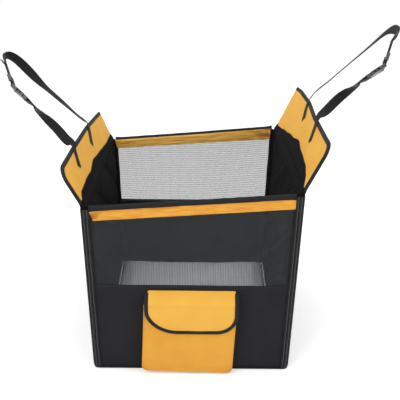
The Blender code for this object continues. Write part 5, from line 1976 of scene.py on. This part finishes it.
def flapEdge(hand):
    # Down a side of the flap and round its corner to the middle: places, and directions off the face.
    tall, (steps, turns) = pocketFlap["corners"][hand]["tall"], pocketFlap["tapeSteps"]
    downs = evenSteps(pocketFlap["tapeStart"], flapReach - tall, steps)[:-1]
    downs += [flapReach - tall * share for share in cornerShares(turns)]
    line = []
    for down in downs:
        place, lift = flapFall(down)
        x = pocketFlap["centre"] + hand * flapHalf(down, 0.0, hand)
        line.append((Vector((x, 0, 0)) + place, lift))
    return line


flapOutline = flapEdge(-1) + flapEdge(1)[::-1]
edgePath = framed([place for place, lift in flapOutline], [lift for place, lift in flapOutline])
inward = 1 if edgePath[5][1].x > 0 else -1
tapeSection = [(a * inward, b) for a, b in pocketFlap["tape"]]
sweep("pocketFlapBinding", edgePath, tapeSection, "bindingTape", "pocket_flap", "pocket_flap_binding")

flapSewing, stitch = Sewing(), pocketFlap["stitch"]
stitchLine = []
for place, side, lift in edgePath[2:-2]:
    stitchLine.append(place + side * (stitch["inset"] * inward) + lift * stitch["out"])
flapSewing.row(stitchLine, -yUnit)
flapSewing.made("pocketFlapStitches", "blackThread", "pocket_flap")

centre, cord = pocketFlap["centre"], pocketFlap["cord"]
cordHalf = pocketFlap["half"] - cord["inset"]
hingeSteps = evenSteps(centre - cordHalf, centre + cordHalf, cord["steps"])
hingeLine = [Vector((x, 0, 0)) + hinge for x in hingeSteps]
cordAlong("pocketFlapTopCord", hingeLine, -yUnit, cord, "flapYellow", "pocket_flap")

patchLook = {"grid": (40, 18), "cloth": 0.0008, "lump": (0.004, 1, 0.004), "depth": 0.00012, "seed": 2.0}


def patchPlace(low, high):
    def place(u, v):
        x, z = between(low.x, high.x, u), between(low.z, high.z, v)
        lump = ripple((x, patchLook["seed"], z), patchLook["lump"], patchLook["depth"])
        return Vector((x, (low.y + high.y) / 2 + lump, z))
    return place


patches = {
    "pocketHookPatch": ("pocket_hook_patch", "seat_box", "pocketFront"),
    "pocketLoopPatch": ("pocket_loop_patch", "pocket_flap", "pocketFlap"),
}
for label, (node, body, behind) in patches.items():
    low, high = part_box(node)
    patch = clothGrid(label, patchLook, patchPlace(low, high), "hookTape", node, body)

for colour, rows in sewing.items():
    rows.made(f"seat{colour.capitalize()}Stitches", f"{colour}Thread", "seat_box")
print("pocket made")


# Finishes on the solids that stay
nodeFinishes = {
    "board": "boardPlastic",
    "rail_tube": "railPlastic",
    "slider": "bucklePlastic",
    "buckle": "bucklePlastic",
}
for node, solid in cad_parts.items():
    for word, finish in nodeFinishes.items():
        if word in node:
            solid.data.materials.clear()
            solid.data.materials.append(finishes[finish])
print("solids finished")
